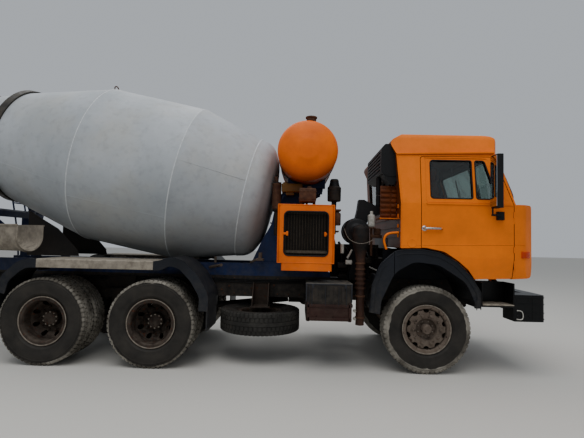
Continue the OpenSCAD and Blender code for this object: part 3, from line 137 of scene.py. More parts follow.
def hexagon(bm, centre, axis, across, height):
    """A nut or bolt head that stands on a surface, with its corners broken."""
    corner_radius = across / 1.732
    made = rod(bm, centre, centre + Vector(axis).normalized() * (height / 1000), corner_radius, 6)
    rim = list({edge for vert in made for edge in vert.link_edges
                if len(edge.link_faces) == 2 and edge.calc_face_angle(0) > 1.2})
    bmesh.ops.bevel(bm, geom=rim, offset=across / 12000, offset_type="OFFSET", segments=1, profile=0.5,
                    affect="EDGES", material=-1)


def pipe(bm, points, radius, closed=False, smooth=True, sides=3):
    """A round pipe along points in metres; its radius is in millimetres."""
    curve = bpy.data.curves.new("pipe", "CURVE")
    curve.dimensions = "3D"
    curve.bevel_depth = radius / 1000
    curve.bevel_resolution = sides
    curve.resolution_u = 6
    curve.use_fill_caps = True
    spline = curve.splines.new("NURBS" if smooth else "POLY")
    spline.points.add(len(points) - 1)
    for target, point in zip(spline.points, points):
        target.co = (*point, 1)
    spline.use_cyclic_u = closed
    if smooth:
        spline.order_u = 3
        spline.use_endpoint_u = not closed
    holder = bpy.data.objects.new("pipe", curve)
    mesh = bpy.data.meshes.new_from_object(holder)
    bpy.data.objects.remove(holder)
    bpy.data.curves.remove(curve)
    bm.from_mesh(mesh)
    bpy.data.meshes.remove(mesh)


def bead(bm, spots, radius, closed=False, sides=3):
    """A bead or wire that runs straight from spot to spot; all in millimetres."""
    pipe(bm, [at(*spot) for spot in spots], radius, closed, smooth=False, sides=sides)


def bent(bm, spots, radius, sides=3):
    """A hose or bent bar that passes smoothly through spots; all in millimetres."""
    pipe(bm, [at(*spot) for spot in spots], radius, sides=sides)


def add_piece(name, bm, finish, body="chassis", sharp=35):
    """Turns a bmesh into a finished piece that rides on a body; edges over the sharp angle stay crisp."""
    bmesh.ops.recalc_face_normals(bm, faces=bm.faces)
    mesh = bpy.data.meshes.new(name)
    bm.to_mesh(mesh)
    bm.free()
    mesh.materials.append(MATERIALS[finish])
    for face in mesh.polygons:
        face.use_smooth = True
    mesh.set_sharp_from_angle(angle=math.radians(sharp))
    piece = bpy.data.objects.new(name, mesh)
    bpy.context.scene.collection.objects.link(piece)
    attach(piece, body)
    return piece


# Outlines

def arc_between(first, corner, last, radius, steps=10):
    """Points on the arc that rounds one corner of an outline."""
    a, b, c = Vector(first), Vector(corner), Vector(last)
    to_a, to_c = (a - b).normalized(), (c - b).normalized()
    half = to_a.angle(to_c) / 2
    reach = radius / math.tan(half)
    centre = b + (to_a + to_c).normalized() * (radius / math.sin(half))
    start, end = b + to_a * reach, b + to_c * reach
    points = []
    for step in range(steps + 1):
        mixed = (start - centre).lerp(end - centre, step / steps)
        points.append(tuple(centre + mixed.normalized() * radius))
    return points


def round_path(corners, steps=5):
    """Rounds each [x, z, radius] corner of a closed path."""
    points = []
    for index, corner in enumerate(corners):
        following = corners[(index + 1) % len(corners)]
        points += arc_between(corners[index - 1][:2], corner[:2], following[:2], corner[2], steps)
    return points


def rounded_loop(width, height, corner, steps=5):
    """A rounded rectangle round the origin, in millimetres."""
    points = []
    for index, (sx, sz) in enumerate(((1, 1), (-1, 1), (-1, -1), (1, -1))):
        for step in range(steps + 1):
            turn = math.radians(90 * index + 90 * step / steps)
            points.append((sx * (width / 2 - corner) + corner * math.cos(turn),
                           sz * (height / 2 - corner) + corner * math.sin(turn)))
    return points


# Materials

def linear(colour, alpha=1.0):
    """An sRGB hex colour as linear values."""
    channels = [int(colour[i:i + 2], 16) / 255 for i in (1, 3, 5)]
    return (*[c / 12.92 if c <= 0.04045 else ((c + 0.055) / 1.055) ** 2.4 for c in channels], alpha)


def add_node(tree, kind, links=None, **settings):
    """Adds one shader node; links name its input sockets, and settings its properties or inputs."""
    made = tree.nodes.new(kind)
    for key, value in settings.items():
        if hasattr(made, key):
            setattr(made, key, value)
        else:
            made.inputs[key.replace("_", " ")].default_value = value
    for key, socket in (links or {}).items():
        tree.links.new(socket, made.inputs[key])
    return made


def blank(name, roughness=0.5, metallic=0.0, **shader):
    """A new material with its shader and its object coordinates; dust keeps the gloss of all but glass low."""
    material = bpy.data.materials.new(name)
    material.use_nodes = True
    tree = material.node_tree
    bsdf = tree.nodes["Principled BSDF"]
    values = {"Roughness": roughness, "Metallic": metallic, "Specular_IOR_Level": 0.22, **shader}
    for key, value in values.items():
        bsdf.inputs[key.replace("_", " ")].default_value = value
    return material, tree, bsdf, add_node(tree, "ShaderNodeTexCoord").outputs["Object"]


def ramp(tree, value, start, end, first=0.0, last=1.0):
    """A value between two limits, stretched so that it runs from the first number to the last."""
    made = add_node(tree, "ShaderNodeMapRange", {"Value": value}, From_Min=start, From_Max=end, To_Min=first,
                    To_Max=last)
    return made.outputs["Result"]


def patches(tree, place, scale, low, high, detail=6.0, stretch=None):
    """Noise squeezed between two limits, as patches from 0 to 1; a scale of 20 makes them about 50 mm across."""
    if stretch:
        place = add_node(tree, "ShaderNodeMapping", {"Vector": place}, Scale=stretch).outputs["Vector"]
    cloud = add_node(tree, "ShaderNodeTexNoise", {"Vector": place}, Scale=scale, Detail=detail, Roughness=0.62)
    return ramp(tree, cloud.outputs["Fac"], low, high)


def feed(tree, socket, value):
    """Links a socket into an input, or sets the input to a number or a hex colour."""
    if isinstance(value, str):
        socket.default_value = linear(value)
    elif isinstance(value, (int, float)):
        socket.default_value = value
    else:
        tree.links.new(value, socket)


def mix_colour(tree, factor, first, second):
    """Mixes two colours, given as sockets or hex values."""
    made = add_node(tree, "ShaderNodeMix", data_type="RGBA")
    for index, value in ((0, factor), (6, first), (7, second)):
        feed(tree, made.inputs[index], value)
    return made.outputs[2]


def compute(tree, operation, first, second, clamp=True):
    """One step of arithmetic on sockets or numbers, kept between 0 and 1 unless told otherwise."""
    made = add_node(tree, "ShaderNodeMath", operation=operation, use_clamp=clamp)
    for index, value in enumerate((first, second)):
        feed(tree, made.inputs[index], value)
    return made.outputs[0]


def facing(tree, axis, start, end):
    """How far a surface faces along an axis: 0 where its normal's share is the start, 1 at the end."""
    normal = add_node(tree, "ShaderNodeNewGeometry").outputs["Normal"]
    return ramp(tree, add_node(tree, "ShaderNodeSeparateXYZ", {"Vector": normal}).outputs[axis], start, end)


def height_band(tree, place, low, high):
    """1 below the first height in metres, falling to 0 at the second."""
    return ramp(tree, add_node(tree, "ShaderNodeSeparateXYZ", {"Vector": place}).outputs["Z"], low, high, 1.0, 0.0)


def finish_surface(tree, bsdf, colour, rough, roughness, height, strength, depth):
    """Colour, roughness between two limits, and bump from a height between 0 and 1 with its depth in metres."""
    tree.links.new(colour, bsdf.inputs["Base Color"])
    tree.links.new(ramp(tree, rough, 0.0, 1.0, *roughness), bsdf.inputs["Roughness"])
    bump = add_node(tree, "ShaderNodeBump", {"Height": height}, Strength=strength, Distance=depth)
    tree.links.new(bump.outputs["Normal"], bsdf.inputs["Normal"])


def weathered(name, base, shade, dust, dust_share=0.35, low=0.5, high=1.4, chips=None, chip_limit=0.7,
              roughness=(0.35, 0.8), streaks=0.4, top_dust=0.5, under=0.0, rear_painted_shade=0.0):
    """Paint or plastic that has stood outdoors: faded in clouds, streaked, dusty on top and low down, chipped.

    Dust lies thick below the low height in metres and thins out towards the high one. Chips show the metal
    or primer below; a higher limit leaves fewer. Painted shade darkens what faces downwards to dark brown, and what
    faces the rear to near black.
    """
    material, tree, bsdf, place = blank(name, roughness[0])
    clouds = patches(tree, place, 1.7, 0.35, 0.65)
    colour = mix_colour(tree, clouds, base, shade)
    runs = patches(tree, place, 9.0, 0.45, 0.8, stretch=(1, 1, 0.12))
    colour = mix_colour(tree, compute(tree, "MULTIPLY", runs, streaks), colour, shade)
    fine = patches(tree, place, 14.0, 0.38, 0.66, detail=9.0)
    film = compute(tree, "MULTIPLY", height_band(tree, place, low, high), fine)
    above = compute(tree, "MULTIPLY", facing(tree, "Z", 0.15, 0.9), top_dust)
    film = compute(tree, "ADD", film, compute(tree, "MULTIPLY", above, fine))
    film = compute(tree, "MULTIPLY", film, dust_share)
    colour = mix_colour(tree, film, colour, dust)
    rough = compute(tree, "MAXIMUM", film, compute(tree, "MULTIPLY", clouds, 0.25))
    # Painted shade: surfaces that face downwards are mixed towards dark brown
    if under:
        below = compute(tree, "MULTIPLY", facing(tree, "Z", -0.1, -0.7), under)
        colour = mix_colour(tree, below, colour, "#2A1C12")
    # Painted shade: surfaces that face the rear are mixed towards near black
    if rear_painted_shade:
        behind = compute(tree, "MULTIPLY", facing(tree, "X", -0.5, -0.95), rear_painted_shade)
        colour = mix_colour(tree, behind, colour, "#1C0F08")
    if chips:
        spots = patches(tree, place, 26.0, chip_limit, chip_limit + 0.03, detail=8.0)
        colour = mix_colour(tree, spots, colour, chips)
        rough = compute(tree, "MAXIMUM", rough, spots)
    finish_surface(tree, bsdf, colour, rough, roughness, fine, 0.12, 0.002)
    return material


def plain(name, colour, other, scale=30.0, roughness=(0.4, 0.6), metallic=0.0, depth=0.001, bump=0.15, **shader):
    """A surface of two close colours in fine patches, with bump of a depth in metres."""
    material, tree, bsdf, place = blank(name, roughness[0], metallic, **shader)
    grain = patches(tree, place, scale, 0.35, 0.65, detail=8.0)
    finish_surface(tree, bsdf, mix_colour(tree, grain, colour, other), grain, roughness, grain, bump, depth)
    return material


def drum_enamel(base):
    """Zinc-grey drum paint: matt and cool, beige cement dust in clouds, and painted shade that darkens it low down."""
    material, tree, bsdf, place = blank("drum_enamel", 0.55)
    clouds = patches(tree, place, 0.9, 0.3, 0.7, detail=4.0)
    beige = compute(tree, "MULTIPLY", patches(tree, place, 1.3, 0.45, 0.75, detail=5.0), 0.55)
    # Painted shade: darker grey towards the bottom of the drum
    low = compute(tree, "MULTIPLY", height_band(tree, place, 1.3, 2.5), 0.5)
    grime = compute(tree, "MULTIPLY", patches(tree, place, 11.0, 0.5, 0.8, detail=9.0), 0.35)
    colour = mix_colour(tree, clouds, base, "#9BA0A4")
    for share, tone in ((beige, "#AFAB9F"), (low, "#5C6062"), (grime, "#6F7071")):
        colour = mix_colour(tree, share, colour, tone)
    dents = patches(tree, place, 2.2, 0.2, 0.8, detail=2.0)
    finish_surface(tree, bsdf, colour, clouds, (0.42, 0.62), dents, 0.25, 0.01)
    return material


def tyre_rubber(name, mud, crusted):
    """Vulcanised rubber, nearly black, with pale mud dried on the shoulders and in the tread."""
    material, tree, bsdf, place = blank(name, 0.8)
    clouds = patches(tree, place, 5.0, 0.3, 0.75, detail=8.0)
    colour = mix_colour(tree, clouds, "#211F1D", "#38342F")
    # The dried mud ends in a ragged line on the shoulder
    share = add_node(tree, "ShaderNodeAttribute", attribute_name="mud").outputs["Fac"]
    ragged = compute(tree, "MULTIPLY", patches(tree, place, 9.0, 0.3, 0.7, detail=10.0), 0.5)
    ragged = compute(tree, "MULTIPLY", ragged, patches(tree, place, 1.4, 0.25, 0.6, detail=3.0))
    crust = ramp(tree, compute(tree, "ADD", share, ragged, clamp=False), 0.55, 0.68)
    film = mix_colour(tree, patches(tree, place, 3.0, 0.42, 0.62, detail=7.0), crusted, mud)
    colour = mix_colour(tree, compute(tree, "MULTIPLY", crust, 0.85), colour, film)
    finish_surface(tree, bsdf, colour, crust, (0.68, 0.95), crust, 0.3, 0.003)
    return material


def burnt_pipe():
    """Rolled steel pipe: brown rust on the pipe, soot-black heat paint from the silencer up."""
    material, tree, bsdf, place = blank("burnt_pipe", 0.7)
    grain = patches(tree, place, 16.0, 0.35, 0.65, detail=8.0)
    rust = mix_colour(tree, grain, "#2C1B15", "#442D22")
    black = mix_colour(tree, grain, "#0B0A0A", "#1A1512")
    edge = compute(tree, "ADD", height_band(tree, place, 1.34, 1.5), compute(tree, "MULTIPLY", grain, 0.15))
    finish_surface(tree, bsdf, mix_colour(tree, edge, black, rust), grain, (0.55, 0.9), grain, 0.3, 0.002)
    return material


def glass(name, tint, roughness):
    """Thin clear sheet: it shows the room behind it and a soft gloss."""
    material, _tree, bsdf, _place = blank(name, roughness, IOR=1.5, Specular_IOR_Level=0.5)
    bsdf.inputs["Base Color"].default_value = linear(tint)
    bsdf.inputs["Transmission Weight"].default_value = 1.0
    return material


MATERIALS = {}

# What weathered() and plain() are given for each finish
WEATHERED = {
    # Alkyd enamel on the cab's back, darkened to dim brown, and lower down towards near black, as painted shade;
    # brown-black runs over the orange
    "sooty_enamel": dict(base="#8A4210", shade="#4C240A", dust="#2A1C12", dust_share=0.6, low=1.8, high=2.4,
                         chips="#24150F", chip_limit=0.66, roughness=(0.6, 0.85), streaks=0.8),
    # The same enamel on hood and tank, a little redder, with painted shade darkening it underneath
    "hood_enamel": dict(base="#EE6E00", shade="#CC5A02", dust="#86694A", dust_share=0.22, low=1.0, high=1.6,
                        chips="#4A2A1C", chip_limit=0.75, roughness=(0.5, 0.78), streaks=0.25, top_dust=0.15,
                        under=0.6),
    # Dark blue machine enamel, greasy and dusty
    "blue_enamel": dict(base="#132A58", shade="#0B1832", dust="#4C4842", dust_share=0.45, low=0.8, high=1.7,
                        chips="#2A1D17", chip_limit=0.66, roughness=(0.45, 0.85), streaks=0.6, top_dust=1.0),
    # Black chassis paint, mostly under road dirt
    "chassis_black": dict(base="#191817", shade="#241F1C", dust="#544B41", dust_share=0.6, low=0.6, high=1.5,
                          chips="#3A2518", chip_limit=0.66, roughness=(0.55, 0.9), streaks=0.5, top_dust=0.9),
    # Red-brown primer on the battery cradle, rubbed and dusty
    "brown_frame": dict(base="#38201B", shade="#271713", dust="#54483D", dust_share=0.4, low=0.5, high=1.0,
                        chips="#24150F", chip_limit=0.62, roughness=(0.6, 0.9), streaks=0.5),
    # Steel sheet under dried cement: pale, powdery, crusted
    "cement_steel": dict(base="#857C70", shade="#6D655A", dust="#A39A8B", dust_share=0.8, low=1.2, high=2.6,
                         chips="#4A3A2C", chip_limit=0.68, roughness=(0.8, 0.97), streaks=0.6, top_dust=1.0),
    # Cast disc wheels of the front axle under pale dried mud
    "wheel_dust": dict(base="#675A4F", shade="#463B33", dust="#83776B", dust_share=0.5, low=0.3, high=1.2,
                       chips="#2B221C", chip_limit=0.6, roughness=(0.75, 0.95), streaks=0.2),
    # Spoked rims of the bogie: brown rust with mud in the corners
    "wheel_rust": dict(base="#332922", shade="#221A16", dust="#675D53", dust_share=0.45, low=0.3, high=1.1,
                       chips="#4B2A1A", chip_limit=0.6, roughness=(0.75, 0.95), streaks=0.2),
    # Moulded black polypropylene gone grey-blue in the sun
    "arch_plastic": dict(base="#13151A", shade="#1C1F26", dust="#5F594F", dust_share=0.3, low=0.6, high=1.3,
                         roughness=(0.5, 0.85)),
    # Ochre enamel of the oil tank, browned by oil and dust
    "ochre_paint": dict(base="#6E4A14", shade="#453010", dust="#5B4F3D", dust_share=0.4, low=1.8, high=2.6),
    # Deep black enamel of the bumper, the cleanest and glossiest of the blacks
    "bumper_paint": dict(base="#060708", shade="#0A0B0C", dust="#4A443D", dust_share=0.1, low=0.4, high=0.7,
                         roughness=(0.35, 0.6), streaks=0.2, top_dust=0.0),
    # Blow-moulded grey cover of the batteries, dusty on top
    "grey_plastic": dict(base="#2D2E33", shade="#222328", dust="#857C6C", dust_share=0.7, low=0.2, high=0.4,
                         roughness=(0.55, 0.9), streaks=0.3, top_dust=1.0),
}
PLAIN = {
    # Cast iron under old oil and dust: dark, half glossy
    "oily_iron": dict(colour="#1E1B19", other="#37302A", scale=12.0, roughness=(0.45, 0.85), metallic=0.3),
    # Mild steel with a coat of even brown rust: dull and rough
    "rusty_steel": dict(colour="#3B241A", other="#5C4130", scale=16.0, roughness=(0.7, 0.95), metallic=0.1,
                        depth=0.002, bump=0.3),
    # Rim flange and lock ring, rubbed pale by stones; the same pale finish paints a highlight as the air cleaner's
    # clamp wire
    "wheel_edge": dict(colour="#8A8175", other="#6A6056", scale=26.0, roughness=(0.6, 0.85)),
    # Bare forged steel, polished by use
    "worn_steel": dict(colour="#6E6A64", other="#8B867E", scale=22.0, roughness=(0.3, 0.55), metallic=0.85),
    # Injection-moulded ABS, black and fine-grained
    "black_plastic": dict(colour="#0D0D0E", other="#151517", scale=60.0, roughness=(0.5, 0.65)),
    # Darker orange strip under the door's crease: a painted shadow line
    "worn_edge": dict(colour="#8A4310", other="#6E3812", roughness=(0.6, 0.8)),
    # Extruded EPDM rubber, matt black
    "seal_rubber": dict(colour="#0E0E0E", other="#181818", scale=80.0, roughness=(0.55, 0.7)),
    # Moulded acrylic lenses: smooth, deep in colour, sun-bleached where pale
    "amber_lens": dict(colour="#C23A0C", other="#D0480F", scale=90.0, roughness=(0.15, 0.25), IOR=1.49),
    "pale_lens": dict(colour="#C8C2B2", other="#B4AC9A", scale=60.0, roughness=(0.2, 0.35), IOR=1.49),
    "red_lens": dict(colour="#8E0D0A", other="#A5140F", scale=90.0, roughness=(0.15, 0.25), IOR=1.49),
    # Aluminium vapour on the lamps' bowls: a bright mirror
    "reflector": dict(colour="#C9CBCB", other="#B8BABA", scale=20.0, roughness=(0.05, 0.12), metallic=1.0),
    # Pale grey on the drum's ring weld beads: a painted highlight along the seams
    "weld_paint": dict(colour="#CDD0D2", other="#B4B8BA", roughness=(0.5, 0.7)),
    # Turned steel track under black grease
    "greased_ring": dict(colour="#34322F", other="#4B4740", scale=9.0, roughness=(0.4, 0.75), metallic=0.5),
    # Chrome plate, a little dusty
    "chrome": dict(colour="#B9B9B6", other="#A6A5A0", scale=18.0, roughness=(0.12, 0.28), metallic=1.0),
    # Silvered mirror glass
    "mirror_face": dict(colour="#AEB6BB", other="#A3ABB0", scale=3.0, roughness=(0.02, 0.04), metallic=1.0),
    # Vinyl seat cover, sewn, slightly shiny where sat on
    "seat_vinyl": dict(colour="#2B2623", other="#3A332E", scale=140.0, roughness=(0.45, 0.6), depth=0.0008,
                       bump=0.35),
    # Pressed fibre lining of the cab: dull grey-brown
    "cab_lining": dict(colour="#4B4640", other="#5A544C", scale=40.0, roughness=(0.7, 0.85)),
    # Brass and steel fins of the radiator, clogged with dust
    "radiator_core": dict(colour="#564D41", other="#40382F", scale=45.0, roughness=(0.6, 0.85), metallic=0.2),
    # Blow-moulded natural polyethylene, milky and stained
    "milky_plastic": dict(colour="#BDBAB2", other="#8E8A80", scale=18.0, roughness=(0.4, 0.65)),
    # White line paint on the bumper's loop
    "white_edge": dict(colour="#C9C7C0", other="#8E8A80", scale=60.0, roughness=(0.45, 0.7)),
    # Concrete set hard on the blades: matt and lumpy
    "dry_cement": dict(colour="#8B8476", other="#A29A8A", scale=24.0, roughness=(0.9, 1.0), depth=0.006, bump=0.6),
}


def make_materials(colours):
    """All finishes, each named for what it is."""
    # Alkyd enamel, sprayed and sun-faded: satin, a little lighter in clouds, dust low down, painted shade underneath
    # and on the cab's back
    MATERIALS["cab_enamel"] = weathered(
        "cab_enamel", colours.cab, "#D86A02", "#8A7050", dust_share=0.2, low=0.9, high=1.5, chips="#5A2E1A",
        chip_limit=0.76, roughness=(0.5, 0.78), streaks=0.2, top_dust=0.12, under=0.55, rear_painted_shade=0.9)
    for make, rows in ((weathered, WEATHERED), (plain, PLAIN)):
        for name, values in rows.items():
            MATERIALS[name] = make(name, **values)
    MATERIALS["drum_enamel"] = drum_enamel(colours.drum)
    MATERIALS["burnt_pipe"] = burnt_pipe()
    MATERIALS["tyre_rubber"] = tyre_rubber("tyre_rubber", colours.mud, "#5A554D")
    MATERIALS["spare_rubber"] = tyre_rubber("spare_rubber", "#45433F", "#2C2B29")
    # Tempered window glass with a light green-grey tint, and clear pressed glass of the lamps
    MATERIALS["window_glass"] = glass("window_glass", "#AEBCB8", 0.02)
    MATERIALS["lamp_glass"] = glass("lamp_glass", "#E6E9E6", 0.04)


NODE_FINISH = {
    "chassis_black": "frame chassis_tanks battery_box",
    "blue_enamel": "subframe front_stand drum_gearbox rear_stand",
    "oily_iron": "front_axle rear_axles leaf_springs power_unit mixer_engine knuckle_left knuckle_right track_rod",
    "tyre_rubber": "spare_tyre tyre_front_left tyre_front_right tyres_middle_left tyres_middle_right"
                   " tyres_rear_left tyres_rear_right",
    "wheel_rust": "spare_carrier rims_middle_left rims_middle_right rims_rear_left rims_rear_right",
    "wheel_dust": "rim_front_left rim_front_right",
    "arch_plastic": "arches_rear fender_ends cab_arches",
    "cement_steel": "fender_decks hopper spout chute",
    "bumper_paint": "bumper",
    "chrome": "lamps",
    "black_plastic": "air_cleaner intake_box mirror_left mirror_right",
    "burnt_pipe": "exhaust",
    "hood_enamel": "mixer_hood water_tank",
    "cab_enamel": "cab_shell front_lid door_left door_right",
    "window_glass": "cab_glass door_glass_left door_glass_right",
    "cab_lining": "cab_interior",
    "amber_lens": "cab_lamps",
    "drum_enamel": "drum_shell",
    "greased_ring": "drum_ring",
    "dry_cement": "drum_blades",
    "worn_steel": "roller_left roller_right",
}


class TruckFinish(bpy.types.PropertyGroup):
    """Colours that a user would change."""

    cab: bpy.props.StringProperty(name="Cab paint", description="Colour of the cab", default="#F57800")
    drum: bpy.props.StringProperty(name="Drum paint", description="Colour of the drum", default="#B6BABE")
    mud: bpy.props.StringProperty(name="Dried mud", description="Colour of the mud on tyres", default="#9C968B")


class TruckSizes(bpy.types.PropertyGroup):
    """Sizes of the dressed details."""

    lug_height: bpy.props.FloatProperty(name="Tread depth", description="Height of the tyre's blocks",
                                        default=0.010, min=0.004, max=0.02, unit="LENGTH")
    lug_count: bpy.props.IntProperty(name="Tread pitch count", description="Blocks round a tyre", default=58,
                                     min=30, max=70)
    nut_across: bpy.props.FloatProperty(name="Wheel nut", description="Width of a wheel nut across its flats",
                                        default=0.032, min=0.02, max=0.04, unit="LENGTH")


# Stage

# An overcast sky: one large soft source above the near side and a weaker one behind, with place and power
SKY_LAMPS = (("sky_near", (0.5, -6.0, 12.5), 950.0), ("sky_far", (-3.0, 5.0, 12.5), 600.0))
SKY_AIM = Vector((0, 0, 1))
SKY_DISK = 12.0
SKY_STRENGTH = 0.62
FLOOR_HALF = 60
# Where the photograph was taken from, fitted to the truck; turns are in degrees, the lens in millimetres
CAMERA_SPOT = (-1577, -6524, 1562.5)
CAMERA_TURN = {"yaw": -0.90, "pitch": 2.90, "roll": 1.29}
CAMERA_LENS = 27.06


class MIXER_OT_stage(bpy.types.Operator):
    """Sets floor, lights and the camera at the photograph's viewing angle."""

    bl_idname = "mixer.stage"
    bl_label = "Stage and Camera"

    def execute(self, context):
        scene = context.scene
        bm = bmesh.new()
        bmesh.ops.create_grid(bm, x_segments=2, y_segments=2, size=FLOOR_HALF)
        mesh = bpy.data.meshes.new("floor")
        bm.to_mesh(mesh)
        bm.free()
        material, _tree, bsdf, _place = blank("studio_floor", 0.85)
        bsdf.inputs["Base Color"].default_value = linear("#CCC9C2")
        mesh.materials.append(material)
        floor = bpy.data.objects.new("floor", mesh)
        scene.collection.objects.link(floor)

        world = bpy.data.worlds.new("overcast")
        world.use_nodes = True
        sky = world.node_tree.nodes["Background"]
        sky.inputs["Color"].default_value = linear("#DDE3EA")
        sky.inputs["Strength"].default_value = SKY_STRENGTH
        scene.world = world
        for name, place, power in SKY_LAMPS:
            light = bpy.data.lights.new(name, "AREA")
            light.shape = "DISK"
            light.size = SKY_DISK
            light.energy = power
            lamp = bpy.data.objects.new(name, light)
            lamp.location = place
            lamp.rotation_euler = (SKY_AIM - Vector(place)).to_track_quat("-Z", "Y").to_euler()
            scene.collection.objects.link(lamp)

        camera = bpy.data.cameras.new("photo_camera")
        camera.sensor_width = 36.0
        camera.lens = CAMERA_LENS
        holder = bpy.data.objects.new("photo_camera", camera)
        holder.location = at(*CAMERA_SPOT)
        yaw, pitch, roll = (math.radians(CAMERA_TURN[key]) for key in ("yaw", "pitch", "roll"))
        forward = Vector((math.sin(yaw) * math.cos(pitch), math.cos(yaw) * math.cos(pitch), math.sin(pitch)))
        right = Vector((math.cos(yaw), -math.sin(yaw), 0))
        up = right.cross(forward)
        tilted_right = right * math.cos(roll) + up * math.sin(roll)
        tilted_up = up * math.cos(roll) - right * math.sin(roll)
        holder.rotation_euler = Matrix((tilted_right, tilted_up, -forward)).transposed().to_euler()
        scene.collection.objects.link(holder)
        scene.camera = holder
        return {"FINISHED"}


class MIXER_OT_finishes(bpy.types.Operator):
    """Gives every carried-over CAD node its material."""

    bl_idname = "mixer.finishes"
    bl_label = "Finishes of the Frame"

    def execute(self, context):
        make_materials(context.scene.mixer_finish)
        for finish, names in NODE_FINISH.items():
            for name in names.split():
                mesh = NODES[name].data
                mesh.materials.clear()
                mesh.materials.append(MATERIALS[finish])
        return {"FINISHED"}


# Tyres and wheels

# Half of a tyre's section as [radius, offset]: bead, sidewall with its moulded rings, shoulder and grooved tread
TYRE_SECTION = [(255, 84), (262, 95), (298, 95.5), (306, 102), (314, 112), (330, 121), (333, 124.5), (341, 127),
                (346, 126.5), (380, 136), (410, 141), (440, 142), (462, 140), (466, 142), (474, 141.5),
                (478, 137.5), (492, 134), (506, 129), (515, 124), (518, 84), (518, 78), (518, 30), (518, 24)]
# Each pitch of the tread has this many steps round the tyre, of which some are groove
LUG_STEPS = 3
# Blocks grow beyond these radii, and on either side of the grooves at these offsets
SHOULDER_FOOT, TREAD_FOOT = 492, 517
OUTER_GROOVE, MIDDLE_GROOVE, HEART_EDGE = 84, (30, 78), 24
# Beyond this offset in metres the blocks lean outwards
LEAN_FROM = 0.1265
# Half the distance between the tyres of a twin, in metres
TWIN_HALF = 0.161
# Name, whether it is a twin, and body of each wheel
WHEELS = [(f"{row}_{side}", row != "front", f"wheel_{row}_{side[0]}")
          for row in ("front", "middle", "rear") for side, _sign in SIDES]


def hub_of(name):
    """Middle of a wheel, in metres."""
    return Vector(JOINTS[f"spin_{name}"]["pos_m"])


def lug_direction(point, centre, axis):
    """Which way a tread block grows: out from the axle, and sideways too on the shoulder."""
    arm = point - centre
    offset = arm.dot(axis)
    out = (arm - axis * offset).normalized()
    if abs(offset) > LEAN_FROM:
        return out * 0.55 + axis * math.copysign(0.7, offset)
    return out


def add_tyre(bm, centre, axis, sizes):
    """One tyre: the carcass is spun, then the tread's blocks are pushed out of it."""
    outline = [(r, -s) for r, s in TYRE_SECTION] + [(r, s) for r, s in reversed(TYRE_SECTION)]
    fresh = bmesh.new()
    lathe(fresh, outline, centre, axis, sizes.lug_count * LUG_STEPS)
    reference = axis.orthogonal().normalized()
    other = axis.cross(reference)
    pitch = FULL_TURN / sizes.lug_count
    blocks = []
    for face in fresh.faces:
        arm = face.calc_center_median() - centre
        along = arm.dot(axis)
        offset = abs(along) * 1000
        flat = arm - axis * along
        turn = math.atan2(flat.dot(other), flat.dot(reference)) % FULL_TURN
        # The two halves of the tread are half a pitch apart
        step = int(turn / pitch * LUG_STEPS + 0.5 * (along > 0) * LUG_STEPS) % LUG_STEPS
        radius = flat.length * 1000
        shoulder = radius > SHOULDER_FOOT and offset > OUTER_GROOVE
        middle = radius > TREAD_FOOT and MIDDLE_GROOVE[0] < offset < MIDDLE_GROOVE[1]
        heart = radius > TREAD_FOOT and offset < HEART_EDGE
        if (shoulder and step) or (middle and step != 1) or heart:
            blocks.append(face)
    for vert in bmesh.ops.extrude_face_region(fresh, geom=blocks)["geom"]:
        if isinstance(vert, bmesh.types.BMVert):
            vert.co += lug_direction(vert.co, centre, axis) * sizes.lug_height
    bmesh.ops.delete(fresh, geom=blocks, context="FACES_KEEP_BOUNDARY")
    bmesh.ops.recalc_face_normals(fresh, faces=fresh.faces)
    mesh = bpy.data.meshes.new("tyre")
    fresh.to_mesh(mesh)
    fresh.free()
    bm.from_mesh(mesh)
    bpy.data.meshes.remove(mesh)


def mark_mud(piece, centres, axis, start):
    """Stores how muddy each point of a tyre is: none inside the start radius, most on tread and shoulder."""
    values = []
    for vert in piece.data.vertices:
        arm = min((vert.co - centre for centre in centres), key=lambda a: a.length)
        radius = (arm - axis * arm.dot(axis)).length
        values.append(max(0.0, min(1.0, (radius - start) / 0.05)))
    layer = piece.data.attributes.new("mud", "FLOAT", "POINT")
    layer.data.foreach_set("value", values)


class MIXER_OT_tyres(bpy.types.Operator):
    """Tyres with blocks, grooves and moulded rings."""

    bl_idname = "mixer.tyres"
    bl_label = "Tyres"

    def execute(self, context):
        jobs = []
        for name, twin, body in WHEELS:
            offsets = (-TWIN_HALF, TWIN_HALF) if twin else (0.0,)
            centres = [hub_of(name) + LEFT * offset for offset in offsets]
            node = f"tyres_{name}" if twin else f"tyre_{name}"
            jobs.append((name, node, "tyre_rubber", body, centres, LEFT, 0.477 if twin else 0.445))
        low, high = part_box("spare_tyre")
        jobs.append(("spare", "spare_tyre", "spare_rubber", "chassis", [(low + high) / 2], UP, 0.47))
        for name, node, finish, body, centres, axis, mud_start in jobs:
            bm = bmesh.new()
            for centre in centres:
                add_tyre(bm, centre, axis, context.scene.mixer_sizes)
            piece = add_piece(f"tyre_{name}", bm, finish, body, 28)
            mark_mud(piece, centres, axis, mud_start)
            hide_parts(node)
        return {"FINISHED"}


